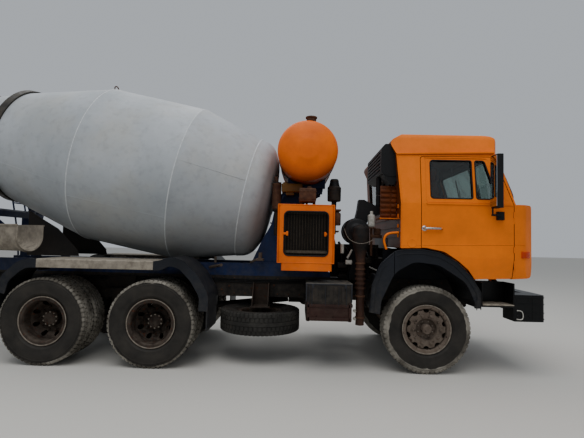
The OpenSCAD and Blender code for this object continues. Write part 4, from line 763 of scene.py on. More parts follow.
class MIXER_OT_wheel_hardware(bpy.types.Operator):
    """Nuts, valves, lock rings, cap bolts and brake shields of the wheels."""

    bl_idname = "mixer.wheel_hardware"
    bl_label = "Wheel Hardware"

    def execute(self, context):
        across = context.scene.mixer_sizes.nut_across * 1000
        for name, twin, body in WHEELS:
            middle = hub_of(name)
            outward = LEFT * math.copysign(1, middle.y)
            nut_face, nut_circle, lock_ring = (0.012, 0.15, 269) if twin else (0.095, 0.1675, 108)
            bm = bmesh.new()
            for turn in turns(10):
                spot = middle + outward * nut_face + Vector((math.cos(turn), 0, math.sin(turn))) * nut_circle
                rod(bm, spot, spot + outward * 0.004, across / 1.5)
                hexagon(bm, spot + outward * 0.004, outward, across, 24)
                rod(bm, spot, spot + outward * 0.041, across / 3.2, 12)
            # Valve stem through one hand hole
            start = middle + outward * (nut_face + 0.005) + Vector((0.2, 0, 0.03))
            rod(bm, start, start + outward * 0.05, 6, 12)
            rod(bm, start + outward * 0.05, start + outward * 0.062, 8, 8)
            add_piece(f"wheel_nuts_{name}", bm, "wheel_rust" if twin else "wheel_dust", body, 30)

            # Lock ring of the split rim, with the bolts of the axle flange or of the front hub's cap
            bm = bmesh.new()
            ring = [(286, lock_ring - 1), (296, lock_ring), (298.5, lock_ring + 5), (292, lock_ring + 8),
                    (285, lock_ring + 4)]
            lathe(bm, ring, middle, outward, 96, closed=True)
            cap, radius, count, size = (97, 0.082, 10, 20) if twin else (40, 0.094, 8, 14)
            for turn in turns(count, 0.5):
                spot = middle + outward * (cap - 6) / 1000 + Vector((math.cos(turn), 0, math.sin(turn))) * radius
                hexagon(bm, spot, outward, size, 14)
            add_piece(f"wheel_ring_{name}", bm, "wheel_edge", body, 30)
            if not twin:
                bm = bmesh.new()
                lathe(bm, [(150, -80), (254, -80), (254, -75), (150, -75)], middle, outward, closed=True)
                add_piece(f"brake_shield_{name}", bm, "oily_iron", body, 30)
        return {"FINISHED"}


# Drum

# Stations along the axis, radii, and the thickness of the plate
HUB, HEAD, MIDDLE_END, TRACK, MOUTH = -1240, -881, 1316, 2574, 3330
DRUM_R, HEAD_R, CONE_R, MOUTH_R, PLATE = 1125, 876, 805, 560, 8
# Lifting eye and hatch by their stations, and the hatch's turn from the top in degrees
EYE = MIDDLE_END + 174
HATCH_ALONG, HATCH_TURN = 640, 150
# How far a weld bead stands out of the plates
SEAM_LIFT = 2.6


def ring_seam(radius, along):
    """The low bead where two rings of plate are welded."""
    return [(radius, along - 9), (radius + 2.2, along - 5), (radius + SEAM_LIFT, along), (radius + 2.2, along + 5),
            (radius, along + 9)]


def drum_outline():
    """Outside of the drum as [radius, distance along the axis], with a low weld bead at each ring seam."""
    foot, flat = (150, HUB + 15), (560, HUB + 35)
    knuckle, edge = (HEAD_R - 34, HUB + 178), (HEAD_R, HEAD)
    dome = [foot] + arc_between(foot, flat, knuckle, 500, 8) + arc_between(flat, knuckle, edge, 260, 16)
    return (dome + ring_seam(HEAD_R, HEAD) + ring_seam(DRUM_R - 3, 0) + [(DRUM_R, 500), (DRUM_R, 900)]
            + ring_seam(DRUM_R, MIDDLE_END) + [(CONE_R, TRACK), (MOUTH_R, MOUTH)])


def seam_strip(bm, path, angle, width=13):
    """A lengthwise weld bead that follows the drum's outline."""
    rings = []
    for along, radius in path:
        row = []
        for offset, lift in ((-width / 2, -1), (-width / 3, SEAM_LIFT), (width / 3, SEAM_LIFT), (width / 2, -1)):
            row.append(bm.verts.new(drum_point(along, radius + lift, angle + math.degrees(offset / radius))))
        rings.append([bm.edges.new(pair) for pair in zip(row, row[1:])])
    for first, second in zip(rings, rings[1:]):
        bmesh.ops.bridge_loops(bm, edges=first + second)


class MIXER_OT_drum(bpy.types.Operator):
    """Drum plates with their weld beads, hatch, lifting hook and mouth ring."""

    bl_idname = "mixer.drum"
    bl_label = "Drum"

    def execute(self, context):
        bm = bmesh.new()
        outside = drum_outline()
        inside = [(max(r - PLATE, 40), s + (PLATE if s < HUB + 60 else 0)) for r, s in reversed(outside)
                  if r not in (HEAD_R + SEAM_LIFT, DRUM_R + SEAM_LIFT)]
        rim = [(MOUTH_R + 14, MOUTH - 1), (MOUTH_R + 14, MOUTH + 24), (MOUTH_R - 4, MOUTH + 24),
               (MOUTH_R - 6, MOUTH)]
        hub = [(1, HUB - 80), (60, HUB - 80), (60, HUB - 1), (175, HUB), (175, HUB + 20)]
        lathe(bm, hub + outside + rim + inside + [(1, HUB + 30)], DRUM_START, DRUM_AXIS, 180)
        drum = add_piece("drum", bm, "drum_enamel", "drum", 24)
        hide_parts("drum_shell")

        # Lengthwise seams, a third of a turn apart and staggered from ring to ring
        bm = bmesh.new()
        for start, path in ((80, [(HEAD + 8, HEAD_R + 2.3), (-8, DRUM_R - 4)]),
                            (0, [(8, DRUM_R - 3), (MIDDLE_END - 8, DRUM_R)]),
                            (113, [(MIDDLE_END + 8, DRUM_R - 2), (TRACK - 50, CONE_R + 13)]),
                            (113, [(TRACK + 50, CONE_R - 16), (MOUTH - 8, MOUTH_R + 3)])):
            for third in range(3):
                seam_strip(bm, path, -start - 120 * third)
        add_piece("drum_welds", bm, "drum_enamel", "drum", 50)
        # Ring weld beads in a paler grey than the drum: a painted highlight along the seams
        bm = bmesh.new()
        for radius, along in ((HEAD_R, HEAD), (DRUM_R - 3, 0), (DRUM_R, MIDDLE_END)):
            top, foot = radius + 4.5, radius + 1
            lathe(bm, [(foot, along - 7), (top, along - 3), (top, along + 3), (foot, along + 7)], DRUM_START,
                  DRUM_AXIS, 180, closed=True)
        add_piece("drum_ring_welds", bm, "weld_paint", "drum", 50)

        # Inspection hatch with its bolts
        bm = bmesh.new()
        centre = drum_point(HATCH_ALONG, DRUM_R - 14, HATCH_TURN)
        out = (centre - drum_point(HATCH_ALONG, 0, HATCH_TURN)).normalized()
        lathe(bm, [(1, 30), (225, 28), (240, 22), (240, 0), (1, 0)], centre, out, 48)
        cross = out.cross(DRUM_AXIS)
        for turn in turns(12):
            spot = centre + (DRUM_AXIS * math.cos(turn) + cross * math.sin(turn)) * 0.205 + out * 0.028
            hexagon(bm, spot, out, 24, 14)
        add_piece("drum_hatch", bm, "drum_enamel", "drum", 30)

        # Lifting eye, bent from round bar, behind the rear seam of the middle section
        bm = bmesh.new()
        foot = drum_point(EYE, DRUM_R - 44, 0)
        out = (foot - drum_point(EYE, 0, 0)).normalized()
        path = [(-48, 6), (-44, 60), (-20, 112), (14, 126), (34, 104), (22, 74), (40, 40), (50, -8)]
        pipe(bm, [foot + DRUM_AXIS * (s / 1000) + out * (r / 1000) for s, r in path], 9)
        pipe(bm, [foot + DRUM_AXIS * s + out * 0.004 for s in (-0.07, 0.07)], 9, smooth=False)
        add_piece("drum_hook", bm, "rusty_steel", "drum", 50)
        return {"FINISHED"}


# Cab

# Half width and belt line; windows as [x or y, z, corner radius]
CAB_SIDE, BELT = 1250, 2056
CREASE_ENDS = (-96, 984)
HANDLE_Z = 1752
DOOR_WINDOW = [(8, 2118, 35), (508, 2118, 25), (508, 2590, 20), (8, 2590, 40)]
QUARTER = [(552, 2118, 25), (800, 2118, 30), (665, 2590, 40), (552, 2590, 20)]
DOOR_FRAME = [(-48, 2072, 20), (866, 2072, 20), (706, 2628, 60), (-48, 2628, 40)]
SCREEN = [(1105, 2126, 90), (1035, 2680, 90), (-1035, 2680, 90), (-1105, 2126, 90)]
REAR_WINDOW = [(250, 2150, 60), (900, 2150, 60), (870, 2560, 60), (250, 2560, 60)]


def crease_z(x):
    """Height of the pressed crease along the cab's side."""
    return 1553 + (x + 95) * 0.022


def side_y(z):
    """The cab's side at a height: above the belt line it leans in."""
    return CAB_SIDE - max(0, z - BELT) * 82 / 594


def screen_x(z, y=0):
    """The windscreen leans back, and falls away towards its sides."""
    bow = max(0, abs(y) - 700) * 72 / 410 - 2
    return 1162 - (z - 2066) * (1162 - 938) / (2650 - 2066) - max(0, bow)


def rear_x(z):
    """The rear edge of the cab's side, upright to the belt line and leaning back above it."""
    return -355 - max(0, z - BELT) * 46 / (2680 - BELT)


class MIXER_OT_door_trim(bpy.types.Operator):
    """Window rubbers, handles, mirror faces, hinge pins and pressed beads of both doors."""

    bl_idname = "mixer.door_trim"
    bl_label = "Door Trim"

    def execute(self, context):
        for tag, side in SIDES:
            body = f"door_{tag[0]}"
            outward = LEFT * side
            bm = bmesh.new()
            for corners in (DOOR_WINDOW, QUARTER):
                for depth, radius in ((-3, 9), (-40, 8)):
                    loop = [(x, side * (side_y(z) + depth), z) for x, z in round_path(corners)]
                    bead(bm, loop, radius, closed=True, sides=2)
            add_piece(f"door_seal_{tag}", bm, "seal_rubber", body, 60)

            # Handle: the bowed grip, an escutcheon and its push button
            bm = bmesh.new()
            grip = [(-78, 2, 0), (-72, 26, 0), (-30, 33, 1), (70, 33, 1), (126, 28, 0), (136, 2, -1)]
            bent(bm, [(x, side * (CAB_SIDE + y), HANDLE_Z + z) for x, y, z in grip], 14.5, 4)
            lathe(bm, [(1, 9), (24, 8), (31, 3), (33, 0), (1, 0)], at(-72, side * CAB_SIDE, HANDLE_Z), outward, 32)
            lathe(bm, [(1, 16), (10, 15), (12, 12), (12, 0), (1, 0)], at(-72, side * (CAB_SIDE + 26), HANDLE_Z),
                  outward, 24)
            add_piece(f"door_handle_{tag}", bm, "chrome", body, 40)

            # Mirror glass faces rearwards, in a rim
            bm = bmesh.new()
            box(bm, (672, side * (CAB_SIDE + 85), 2016), (680.5, side * (CAB_SIDE + 255), 2604), 6)
            add_piece(f"mirror_face_{tag}", bm, "mirror_face", body, 30)
            bm = bmesh.new()
            for z in (2075, 2545):
                rod(bm, at(702, side * (CAB_SIDE + 55), z), at(728, side * (CAB_SIDE + 55), z), 16, 16)
            for x, z in ((794, 1882), (848, 1882), (794, 1954), (848, 1954)):
                hexagon(bm, at(x, side * (CAB_SIDE + 40), z), outward, 13, 6)
            add_piece(f"mirror_fittings_{tag}", bm, "black_plastic", body, 30)

            # Hinge pins in the front gap, the drip edge over the window, crease, belt bead and the pressed frame
            bm = bmesh.new()
            hinge_y = side * (CAB_SIDE - 6)
            for z in (1330, 1880):
                rod(bm, at(996, hinge_y, z - 55), at(996, hinge_y, z + 55), 7, 12)
            bead(bm, [(x, side * (side_y(2622) + 3), 2622) for x in (-60, 250, 560, 690)], 5)
            crease = [(x, side * (CAB_SIDE - 2.2), crease_z(x)) for x in CREASE_ENDS]
            bead(bm, crease, 4)
            bead(bm, [(x, side * (CAB_SIDE - 1.5), BELT + 1) for x in (-48, 866)], 4)
            bead(bm, [(x, side * (side_y(z) - 3), z) for x, z in round_path(DOOR_FRAME)], 5.5, closed=True, sides=2)
            add_piece(f"door_beads_{tag}", bm, "cab_enamel", body, 50)
            # A dark orange strip just below the crease: a painted shadow
            bm = bmesh.new()
            bead(bm, [(x, y - side * 0.5, z - 5) for x, y, z in crease], 3)
            add_piece(f"door_shadow_{tag}", bm, "worn_edge", body, 50)
        return {"FINISHED"}


class MIXER_OT_cab_trim(bpy.types.Operator):
    """Screen rubber, wipers, side beads, roof beads and marker lamps of the cab."""

    bl_idname = "mixer.cab_trim"
    bl_label = "Cab Trim"

    def execute(self, context):
        bm = bmesh.new()
        bead(bm, [(screen_x(z, y) - 4, y, z) for y, z in round_path(SCREEN)], 15, closed=True)
        bead(bm, [(screen_x(z), 0, z) for z in (2130, 2676)], 12)
        for _tag, side in SIDES:
            bead(bm, [(rear_x(z) - 2, side * y, z) for y, z in round_path(REAR_WINDOW)], 12, closed=True)
        add_piece("screen_rubber", bm, "seal_rubber", "cab", 60)

        # Three wipers: spindle, arm, blade and its spring
        bm = bmesh.new()
        for y in (820, 60, -640):
            foot = at(screen_x(2098, y) + 8, y, 2098)
            tip = at(screen_x(2440, y - 150) + 26, y - 150, 2440)
            rod(bm, foot - FORWARD * 0.03, foot + FORWARD * 0.022, 16, 16)
            rod(bm, foot + FORWARD * 0.014, tip, 5, 8)
            low, high = (at(screen_x(z, y + w) + 15, y + w, z) for z, w in ((2180, -30), (2610, -190)))
            rod(bm, low, high, 6, 8)
            rod(bm, low - FORWARD * 0.006, high - FORWARD * 0.006, 3, 6)
        add_piece("wipers", bm, "black_plastic", "cab", 40)

        bm = bmesh.new()
        for _tag, side in SIDES:
            # Crease along the panels, the round patch behind the door, turned edge of the rear corner
            for span in ((-345, -116), (1004, 1120)):
                bead(bm, [(x, side * (CAB_SIDE - 2.2), crease_z(x)) for x in span], 4)
            lathe(bm, [(1, 2.5), (46, 2.5), (50, 4), (54, 2.5), (55, -2), (1, -2)], at(-218, side * CAB_SIDE, 1572),
                  LEFT * side, 40)
            bead(bm, [(rear_x(z) + 17, side * (side_y(z) - 5), z) for z in (1530, BELT, 2640)], 8)
        # Roof beads run lengthwise
        for y in (-560, -190, 190, 560):
            bead(bm, [(-150, y, 2983.5), (100, y, 2988.5), (380, y, 2980)], 7)
        add_piece("cab_beads", bm, "cab_enamel", "cab", 50)

        # Marker lamps on the front of the roof; the outer two stand on its fall
        for index, y in enumerate((-980, -330, 0, 330, 980)):
            bm = bmesh.new()
            foot = at(700, y, 2912 if abs(y) > 900 else 2934)
            lathe(bm, [(1, 42), (26, 38), (36, 24), (38, 0), (1, 0)], foot, (0.25, 0, 1), 24)
            add_piece(f"roof_lamp_{index}", bm, "pale_lens", "cab", 40)
        return {"FINISHED"}


class MIXER_OT_cab_rear(bpy.types.Operator):
    """Behind the cab: shelf, grab loop, louvres in shade-painted enamel, engine shields that paint shade under the
    cab, and washer bottle.
    """

    bl_idname = "mixer.cab_rear"
    bl_label = "Cab Rear Wall"

    def execute(self, context):
        # Shelf, and the grab loop at the cab's lower rear corner, painted like the cab
        bm = bmesh.new()
        box(bm, (-590, -1190, 1862), (-353, -900, 1870))
        box(bm, (-594, -1190, 1850), (-588, -900, 1876))
        bent(bm, [(-512, -1180, 1492), (-530, -1180, 1540), (-545, -1180, 1596), (-531, -1180, 1648),
                  (-492, -1180, 1680), (-440, -1178, 1692), (-362, -1176, 1696)], 16)
        add_piece("cab_shelf", bm, "cab_enamel", "cab", 40)

        # Louvred plate beside the air duct, in the darker enamel that paints the shade on the cab's back
        bm = bmesh.new()
        box(bm, (-560, -1004, 1884), (-357, -1000, 2285), 1)
        for z in range(1896, 2260, 62):
            for start, end in ((-558, -432), (-424, -358)):
                box(bm, (start, -1026, z), (end, -1003, z + 36), 8)
        add_piece("cab_louvres", bm, "sooty_enamel", "cab", 40)

        # Black shields beside the engine, and the rubber flap that closes the tunnel behind it: dark sheets that paint
        # the shade where the view under the cab would show through
        bm = bmesh.new()
        for _tag, side in SIDES:
            box(bm, (-420, side * 468, 1084), (480, side * 472, 1486), 1)
        box(bm, (-364, -460, 1492), (-360, 460, 1640), 1)
        add_piece("engine_shade_shields", bm, "arch_plastic", "cab", 40)

        # Washer bottle with its neck and cap
        bm = bmesh.new()
        box(bm, (-687, -900, 1765), (-600, -810, 1930), 22, 4)
        lathe(bm, [(1, 52), (17, 50), (20, 44), (20, 0), (1, 0)], at(-640, -855, 1922), UP, 28)
        add_piece("washer_bottle", bm, "milky_plastic")
        bm = bmesh.new()
        box(bm, (-650, -880, 1630), (-505, -800, 1668), 8)
        box(bm, (-612, -876, 1668), (-520, -816, 1752), 14, 3)
        box(bm, (-690, -905, 1748), (-590, -805, 1762), 3)
        rod(bm, at(-640, -850, 1400), at(-640, -850, 1750), 16, 16)
        add_piece("bottle_bracket", bm, "rusty_steel")
        return {"FINISHED"}


# Mixer engine with its hood, and the water tank

# Sheet edges of the hood and its opening; axes of the upright parts; the tank's axis, radius and half length
HOOD_X, HOOD_Z, HOOD_Y = (-1830, -1145), (1304, 2006), -1225
OPENING_X, OPENING_Z, OPENING_SIZE = (-1751, -1220), 1657.5, (531, 535)
SILENCER, SILENCER_Z = (-1885, -560), (1990, 2356)
PRECLEANER = (-1108, -612)
TANK_X, TANK_Z, TANK_R, TANK_HALF = -1480, 2745, 393, 1000
FILLER = (-1440, -780)


class MIXER_OT_hood(bpy.types.Operator):
    """Rubber edge, latches and seams of the mixer engine's hood, and the radiator's guard."""

    bl_idname = "mixer.hood"
    bl_label = "Engine Hood"

    def execute(self, context):
        bm = bmesh.new()
        centre_x = sum(OPENING_X) / 2
        loop = [(centre_x + x, HOOD_Y - 1, OPENING_Z + z) for x, z in rounded_loop(*OPENING_SIZE, 55)]
        bead(bm, loop, 9, closed=True)
        add_piece("hood_rubber", bm, "seal_rubber", sharp=60)

        bm = bmesh.new()
        for x, turn in zip(OPENING_X, (1, -1)):
            box(bm, (x - 14, HOOD_Y - 16, 1640), (x + 42 * turn, HOOD_Y - 2, 1668), 5)
            box(bm, (x + 24 * turn, HOOD_Y - 24, 1626), (x + 48 * turn, HOOD_Y + 10, 1682), 6)
        # Folded edges of the sheet and the lap at the skirt
        for x, inward in zip(HOOD_X, (3, -3)):
            bead(bm, [(x + inward, HOOD_Y + 4, z) for z in HOOD_Z], 7)
        for z in HOOD_Z:
            bead(bm, [(x, HOOD_Y + 3, z) for x in HOOD_X], 7)
        add_piece("hood_latches", bm, "hood_enamel", sharp=50)

        # Guard rods behind the opening, and the bar at their foot
        bm = bmesh.new()
        for x in range(-1735, -1225, 34):
            rod(bm, at(x, -1180, 1405), at(x, -1180, 1915), 2.2, 6)
        box(bm, (-1745, -1192, 1418), (-1228, -1178, 1446), 4)
        box(bm, (-1745, -1192, 1448), (-1228, -1184, 1455))
        add_piece("radiator_guard", bm, "radiator_core", sharp=40)
        return {"FINISHED"}


class MIXER_OT_engine_parts(bpy.types.Operator):
    """Coolant box, oil tank, silencer, precleaner, hoses, filters and pump brackets of the mixer's engine."""

    bl_idname = "mixer.engine_parts"
    bl_label = "Mixer Engine Parts"

    def execute(self, context):
        # Cooling water box on top of the hood, in bare brown metal
        bm = bmesh.new()
        box(bm, (-1580, -1010, 2062), (-1365, -800, 2240), 18, 4)
        for x in (-1575, -1405):
            box(bm, (x, -960, 2008), (x + 35, -850, 2066), 3)
        lathe(bm, [(1, 34), (26, 32), (32, 26), (32, 0), (1, 0)], at(-1450, -900, 2236), UP, 32)
        for z in (2105, 2195):
            bead(bm, [(-1582, -1012, z), (-1363, -1012, z), (-1363, -798, z), (-1582, -798, z)], 5, closed=True)
        add_piece("coolant_box", bm, "rusty_steel")

        # Ochre oil tank below the water tank
        bm = bmesh.new()
        box(bm, (-1819, -640, 2226), (-1537, -400, 2342), 14, 3)
        box(bm, (-1760, -600, 2190), (-1650, -440, 2230), 4)
        lathe(bm, [(1, 26), (30, 24), (34, 18), (34, 0), (1, 0)], at(-1770, -560, 2340), UP, 28)
        add_piece("oil_tank", bm, "ochre_paint")

        bm = bmesh.new()
        low, high = SILENCER_Z
        lathe(bm, [(1, high), (44, high - 2), (62, high - 14), (64, high - 30), (64, high - 32), (61, high - 36),
                   (61, low + 36), (64, low + 32), (64, low + 8), (56, low), (1, low - 4)], at(*SILENCER, 0), UP, 48)
        bent(bm, [(*SILENCER, 2350), (*SILENCER, 2400), (-1905, -545, 2430)], 22, 4)
        add_piece("silencer", bm, "rusty_steel")

        bm = bmesh.new()
        bell = [(1, 2414), (46, 2412), (56, 2400), (62, 2360), (78, 2300), (90, 2262), (93, 2250), (86, 2244),
                (60, 2240), (58, 2130), (50, 2118), (1, 2116)]
        lathe(bm, bell, at(*PRECLEANER, 0), UP, 48)
        add_piece("precleaner", bm, "black_plastic")

        hoses = [
            ([(*PRECLEANER, 2118), (-1108, -600, 1990), (-1150, -560, 1930), (-1320, -500, 1900)], 34),
            ([(-1300, -300, 1860), (-1230, -420, 1880), (-1190, -700, 1860), (-1220, -1010, 1880),
              (-1260, -1080, 1890)], 24),
            ([(-1640, -300, 1500), (-1760, -500, 1440), (-1780, -900, 1420), (-1720, -1090, 1420)], 24),
            ([(-1480, -905, 2066), (-1480, -880, 1990), (-1500, -800, 1930)], 14),
        ]
        # Oil hoses that hang between the mixer engine and the cab, by the heights of their ends
        for index, (top, foot) in enumerate(((1660, 1120), (1560, 1140), (1490, 1110), (1590, 1130), (1500, 1150),
                                             (1450, 1120))):
            x, y, odd = -1110 + index * 88, -560 - 70 * (index % 3), index % 2
            hoses.append(([(x, y + 140, top), (x + 20, y, top - 60), (x + 60 - 30 * odd, y - 40, 1330),
                           (x + 10, y + 30, foot)], 13 + 5 * odd))
        bm = bmesh.new()
        for spots, radius in hoses:
            bent(bm, spots, radius, 4)
        add_piece("coolant_hoses", bm, "seal_rubber", sharp=60)

        # Brown filters between hood and cab, with the plates that hold them
        bm = bmesh.new()
        lathe(bm, [(1, 0), (40, 2), (46, 12), (46, 150), (40, 164), (24, 168), (24, 186), (1, 188)],
              at(-1085, -880, 1775), UP, 36)
        lathe(bm, [(1, 0), (36, 2), (42, 12), (42, 120), (36, 132), (1, 136)], at(-1075, -770, 1800), UP, 36)
        box(bm, (-1150, -920, 1960), (-1040, -740, 1985), 6)
        box(bm, (-1146, -880, 1690), (-1060, -700, 1712), 4)
        add_piece("filters", bm, "rusty_steel")

        # Shield, brackets and couplings above the rails, behind the exhaust
        bm = bmesh.new()
        box(bm, (-1138, -424, 1090), (-470, -420, 1540), 1)
        for x in (-1080, -900, -700, -520):
            box(bm, (x, -470, 1100), (x + 36, -424, 1510), 3)
        for z in (1180, 1330, 1470):
            box(bm, (-1130, -500, z), (-480, -470, z + 26), 4)
        box(bm, (-1060, -760, 1230), (-930, -560, 1300), 10)
        box(bm, (-760, -780, 1300), (-620, -600, 1370), 10)
        box(bm, (-1040, -640, 1090), (-560, -500, 1150), 8)
        add_piece("pump_brackets", bm, "oily_iron")
        bm = bmesh.new()
        rod(bm, at(-1016, -900, 1425), at(-1016, -900, 1542), 23, 24)
        rod(bm, at(-890, -895, 1472), at(-948, -895, 1362), 13, 16)
        box(bm, (-972, -915, 1284), (-888, -880, 1340), 8)
        rod(bm, at(-655, -800, 1254), at(-560, -800, 1210), 9, 12)
        for z in (634, 730):
            rod(bm, at(-874, -1118, z), at(-874, -1080, z), 18)
        add_piece("couplings", bm, "milky_plastic", sharp=40)

        # Clamp wire under the air cleaner, pale to paint the highlight on the band's lower edge
        bm = bmesh.new()
        band = [(-1022, 1730), (-1018, 1700), (-983, 1623), (-929, 1576), (-832, 1547), (-717, 1571), (-676, 1606)]
        bent(bm, [(x, -1205, z) for x, z in band], 3)
        add_piece("cleaner_wire", bm, "wheel_edge", sharp=50)
        return {"FINISHED"}


class MIXER_OT_tank(bpy.types.Operator):
    """Dished ends, seams, straps and filler of the water tank."""

    bl_idname = "mixer.tank"
    bl_label = "Water Tank"

    def execute(self, context):
        centre = at(TANK_X, 0, TANK_Z)
        # Dished end as [radius, distance in from the end], then the ring seam
        dish = [(1, 0), (110, 2), (150, 7), (156, 9), (235, 20), (300, 38), (350, 66), (378, 92), (TANK_R, 122),
                (TANK_R, 150), (TANK_R + 2, 155), (TANK_R + 2, 163), (TANK_R, 168)]
        side = [(r, TANK_HALF - inset) for r, inset in dish]
        bm = bmesh.new()
        lathe(bm, [(r, -s) for r, s in side] + side[::-1], centre, LEFT, 128)
        tank = add_piece("water_tank_shell", bm, "hood_enamel", sharp=26)
        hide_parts("water_tank")

        # Filler neck with its cap, and the flange at its foot
        bm = bmesh.new()
        top = at(*FILLER, TANK_Z + TANK_R)
        lathe(bm, [(65, -40), (65, 50), (74, 52), (77, 56), (77, 70), (72, 74), (58, 74), (54, 66), (54, 30), (1, 28)],
              top, UP, 48)
        lathe(bm, [(96, -26), (92, -12), (66, -2), (64, -30)], top, UP, 48)
        add_piece("filler_neck", bm, "rusty_steel")

        bm = bmesh.new()
        for y in (-395, 395):
            low, high = y - 30, y + 30
            lathe(bm, [(TANK_R + 1, low), (TANK_R + 6, low), (TANK_R + 6, high), (TANK_R + 1, high)], centre, LEFT,
                  128, closed=True)
        add_piece("tank_straps", bm, "chassis_black")
        return {"FINISHED"}


# Lamps, bumper and steps

# Middle of a head lamp, and the face of the tail lamps
LAMP_X, LAMP_Y, LAMP_Z = 1270, 960, 835
TAIL_X = -6113
# Span across the truck and finish of each tail lens, from the inside out
TAIL_LENSES = ((562, 690, "red_lens"), (694, 822, "amber_lens"), (826, 958, "lamp_glass"))
SIDE_LENS = [(1076, 1246), (1080, 1262), (1112, 1257), (1148, 1243), (1180, 1219), (1208, 1192), (1198, 1182)]
TOW_PIN_X, TOW_PIN_Y = 1417, 390


class MIXER_OT_lamps(bpy.types.Operator):
    """Head lamps, turn signals, tail lamps and side lamps."""

    bl_idname = "mixer.lamps"
    bl_label = "Lamps"

    def execute(self, context):
        for tag, side in SIDES:
            bowls, lenses, shells = bmesh.new(), bmesh.new(), bmesh.new()
            for offset in (-90, 90):
                centre = at(LAMP_X, side * LAMP_Y + offset, LAMP_Z)
                lathe(bowls, [(1, 12), (30, 16), (60, 34), (78, 68), (80, 74)], centre, FORWARD, 48)
                lathe(bowls, [(1, 30), (9, 28), (9, 12), (1, 12)], centre, FORWARD, 20)
                lathe(lenses, [(1, 86), (40, 84), (70, 78), (80, 73), (80, 70), (68, 74), (40, 80), (1, 82)],
                      centre, FORWARD, 48)
                lathe(shells, [(79, 62), (86, 64), (90, 72), (88, 79), (81, 77)], centre, FORWARD, 48, closed=True)
            ring = [(LAMP_X + 6, side * LAMP_Y + y, LAMP_Z + z) for y, z in rounded_loop(370, 182, 18)]
            bead(shells, ring, 6, closed=True)
            add_piece(f"head_lamp_bowls_{tag}", bowls, "reflector", sharp=40)
            add_piece(f"head_lamp_glass_{tag}", lenses, "lamp_glass", sharp=40)
            add_piece(f"head_lamp_rims_{tag}", shells, "black_plastic", sharp=40)

            for index, (low, high, finish) in enumerate(TAIL_LENSES):
                bm = bmesh.new()
                box(bm, (TAIL_X - 10, side * low, 804), (TAIL_X, side * high, 916), 6)
                for z in range(812, 912, 9):
                    rod(bm, at(TAIL_X - 10, side * (low + 4), z), at(TAIL_X - 10, side * (high - 4), z), 2.2, 6)
                add_piece(f"tail_lens_{tag}_{index}", bm, finish, sharp=40)
            bm = bmesh.new()
            for z in (794, 920):
                box(bm, (TAIL_X - 4, side * 552, z), (TAIL_X + 40, side * 968, z + 6))
            add_piece(f"tail_lamp_case_{tag}", bm, "black_plastic", sharp=40)

            # Corner lens of the cab, with ribs round it
            bm = bmesh.new()
            prism(bm, [(x, side * y) for x, y in SIDE_LENS], 1424, 1498)
            for z in range(1432, 1495, 9):
                bead(bm, [(x + 1, side * (y + 1), z) for x, y in SIDE_LENS[1:-1]], 2.5, sides=2)
            add_piece(f"side_lamp_lens_{tag}", bm, "amber_lens", "cab", 40)
        return {"FINISHED"}


class MIXER_OT_bumper_trim(bpy.types.Operator):
    """Bumper beads, bolts, step treads, tow pins and the white-edged loop at the side."""

    bl_idname = "mixer.bumper_trim"
    bl_label = "Bumper Trim"

    def execute(self, context):
        for tag, side in SIDES:
            # Pressed ribs that run round the corner, the seam of the end cap, and bolts
            bm = bmesh.new()
            for z in (700, 776, 880, 956):
                path = [(1014, 1231), (1320, 1231), (1356, 1224), (1371, 1190), (1378, 960)]
                bent(bm, [(x, side * y, z) for x, y in path], 5)
            bead(bm, [(1216, side * 1231, z) for z in (676, 980)], 4)
            for x in (1040, 1180):
                for z in (735, 920):
                    hexagon(bm, at(x, side * 1229, z), LEFT * side, 18, 8)
            for x, y in ((1366, 1140), (1374, 700), (1374, 560)):
                for z in (738, 918):
                    hexagon(bm, at(x, side * y, z), FORWARD, 18, 12)
            add_piece(f"bumper_ribs_{tag}", bm, "bumper_paint", sharp=40)

            # Step floor under dust, with raised tread bars and a turned edge
            bm = bmesh.new()
            box(bm, (636, side * 952, 860), (992, side * 1222, 864), 1)
            for x in range(660, 985, 24):
                rod(bm, at(x, side * 960, 865), at(x, side * 1216, 865), 3.5, 6)
            bead(bm, [(x, side * 1225, 858) for x in (630, 1000)], 7)
            add_piece(f"step_treads_{tag}", bm, "cement_steel", sharp=40)

            bm = bmesh.new()
            hook = [(1030, 1226, 700), (1028, 1240, 700), (1060, 1242, 696), (1092, 1242, 700), (1102, 1242, 740),
                    (1092, 1240, 790), (1060, 1236, 802), (1034, 1228, 800)]
            bent(bm, [(x, side * y, z) for x, y, z in hook], 6)
            add_piece(f"bumper_loop_{tag}", bm, "white_edge", sharp=50)

            bm = bmesh.new()
            rod(bm, at(TOW_PIN_X, side * TOW_PIN_Y, 796), at(TOW_PIN_X, side * TOW_PIN_Y, 905), 18.5, 24)
            lathe(bm, [(1, 16), (26, 14), (30, 8), (30, 0), (1, 0)], at(TOW_PIN_X, side * TOW_PIN_Y, 896), UP, 24)
            add_piece(f"tow_pin_{tag}", bm, "worn_steel", sharp=40)
        return {"FINISHED"}


# Frame, battery box and fenders

# Outer face of the rails, and their lower and upper edge
RAIL_Y, RAIL_Z = 430, (790, 1076)
# Stretches of the rail that brackets cover, as [start, end]
COVERED = ((-4240, -3760), (-700, -560), (560, 720))
# Face of the battery's cradle, and the axis of the upright exhaust pipe
CRADLE_Y = -1242
EXHAUST = (-808, -1089)
# Front arch as [x, z, corner radius], and the point that its beads are drawn in towards
ARCH = [(606, 800, 0), (604, 1010, 60), (505, 1172, 200), (325, 1358, 200), (112, 1470, 220), (-100, 1506, 260),
        (-400, 1490, 200), (-600, 1310, 220), (-690, 1060, 200), (-718, 740, 0)]
ARCH_CENTRE = Vector((-40, 760))
# The arch's tail stays on the chassis when the cab tilts; no bead crosses the gap between its two ends
ARCH_GAP = (-440, -410)


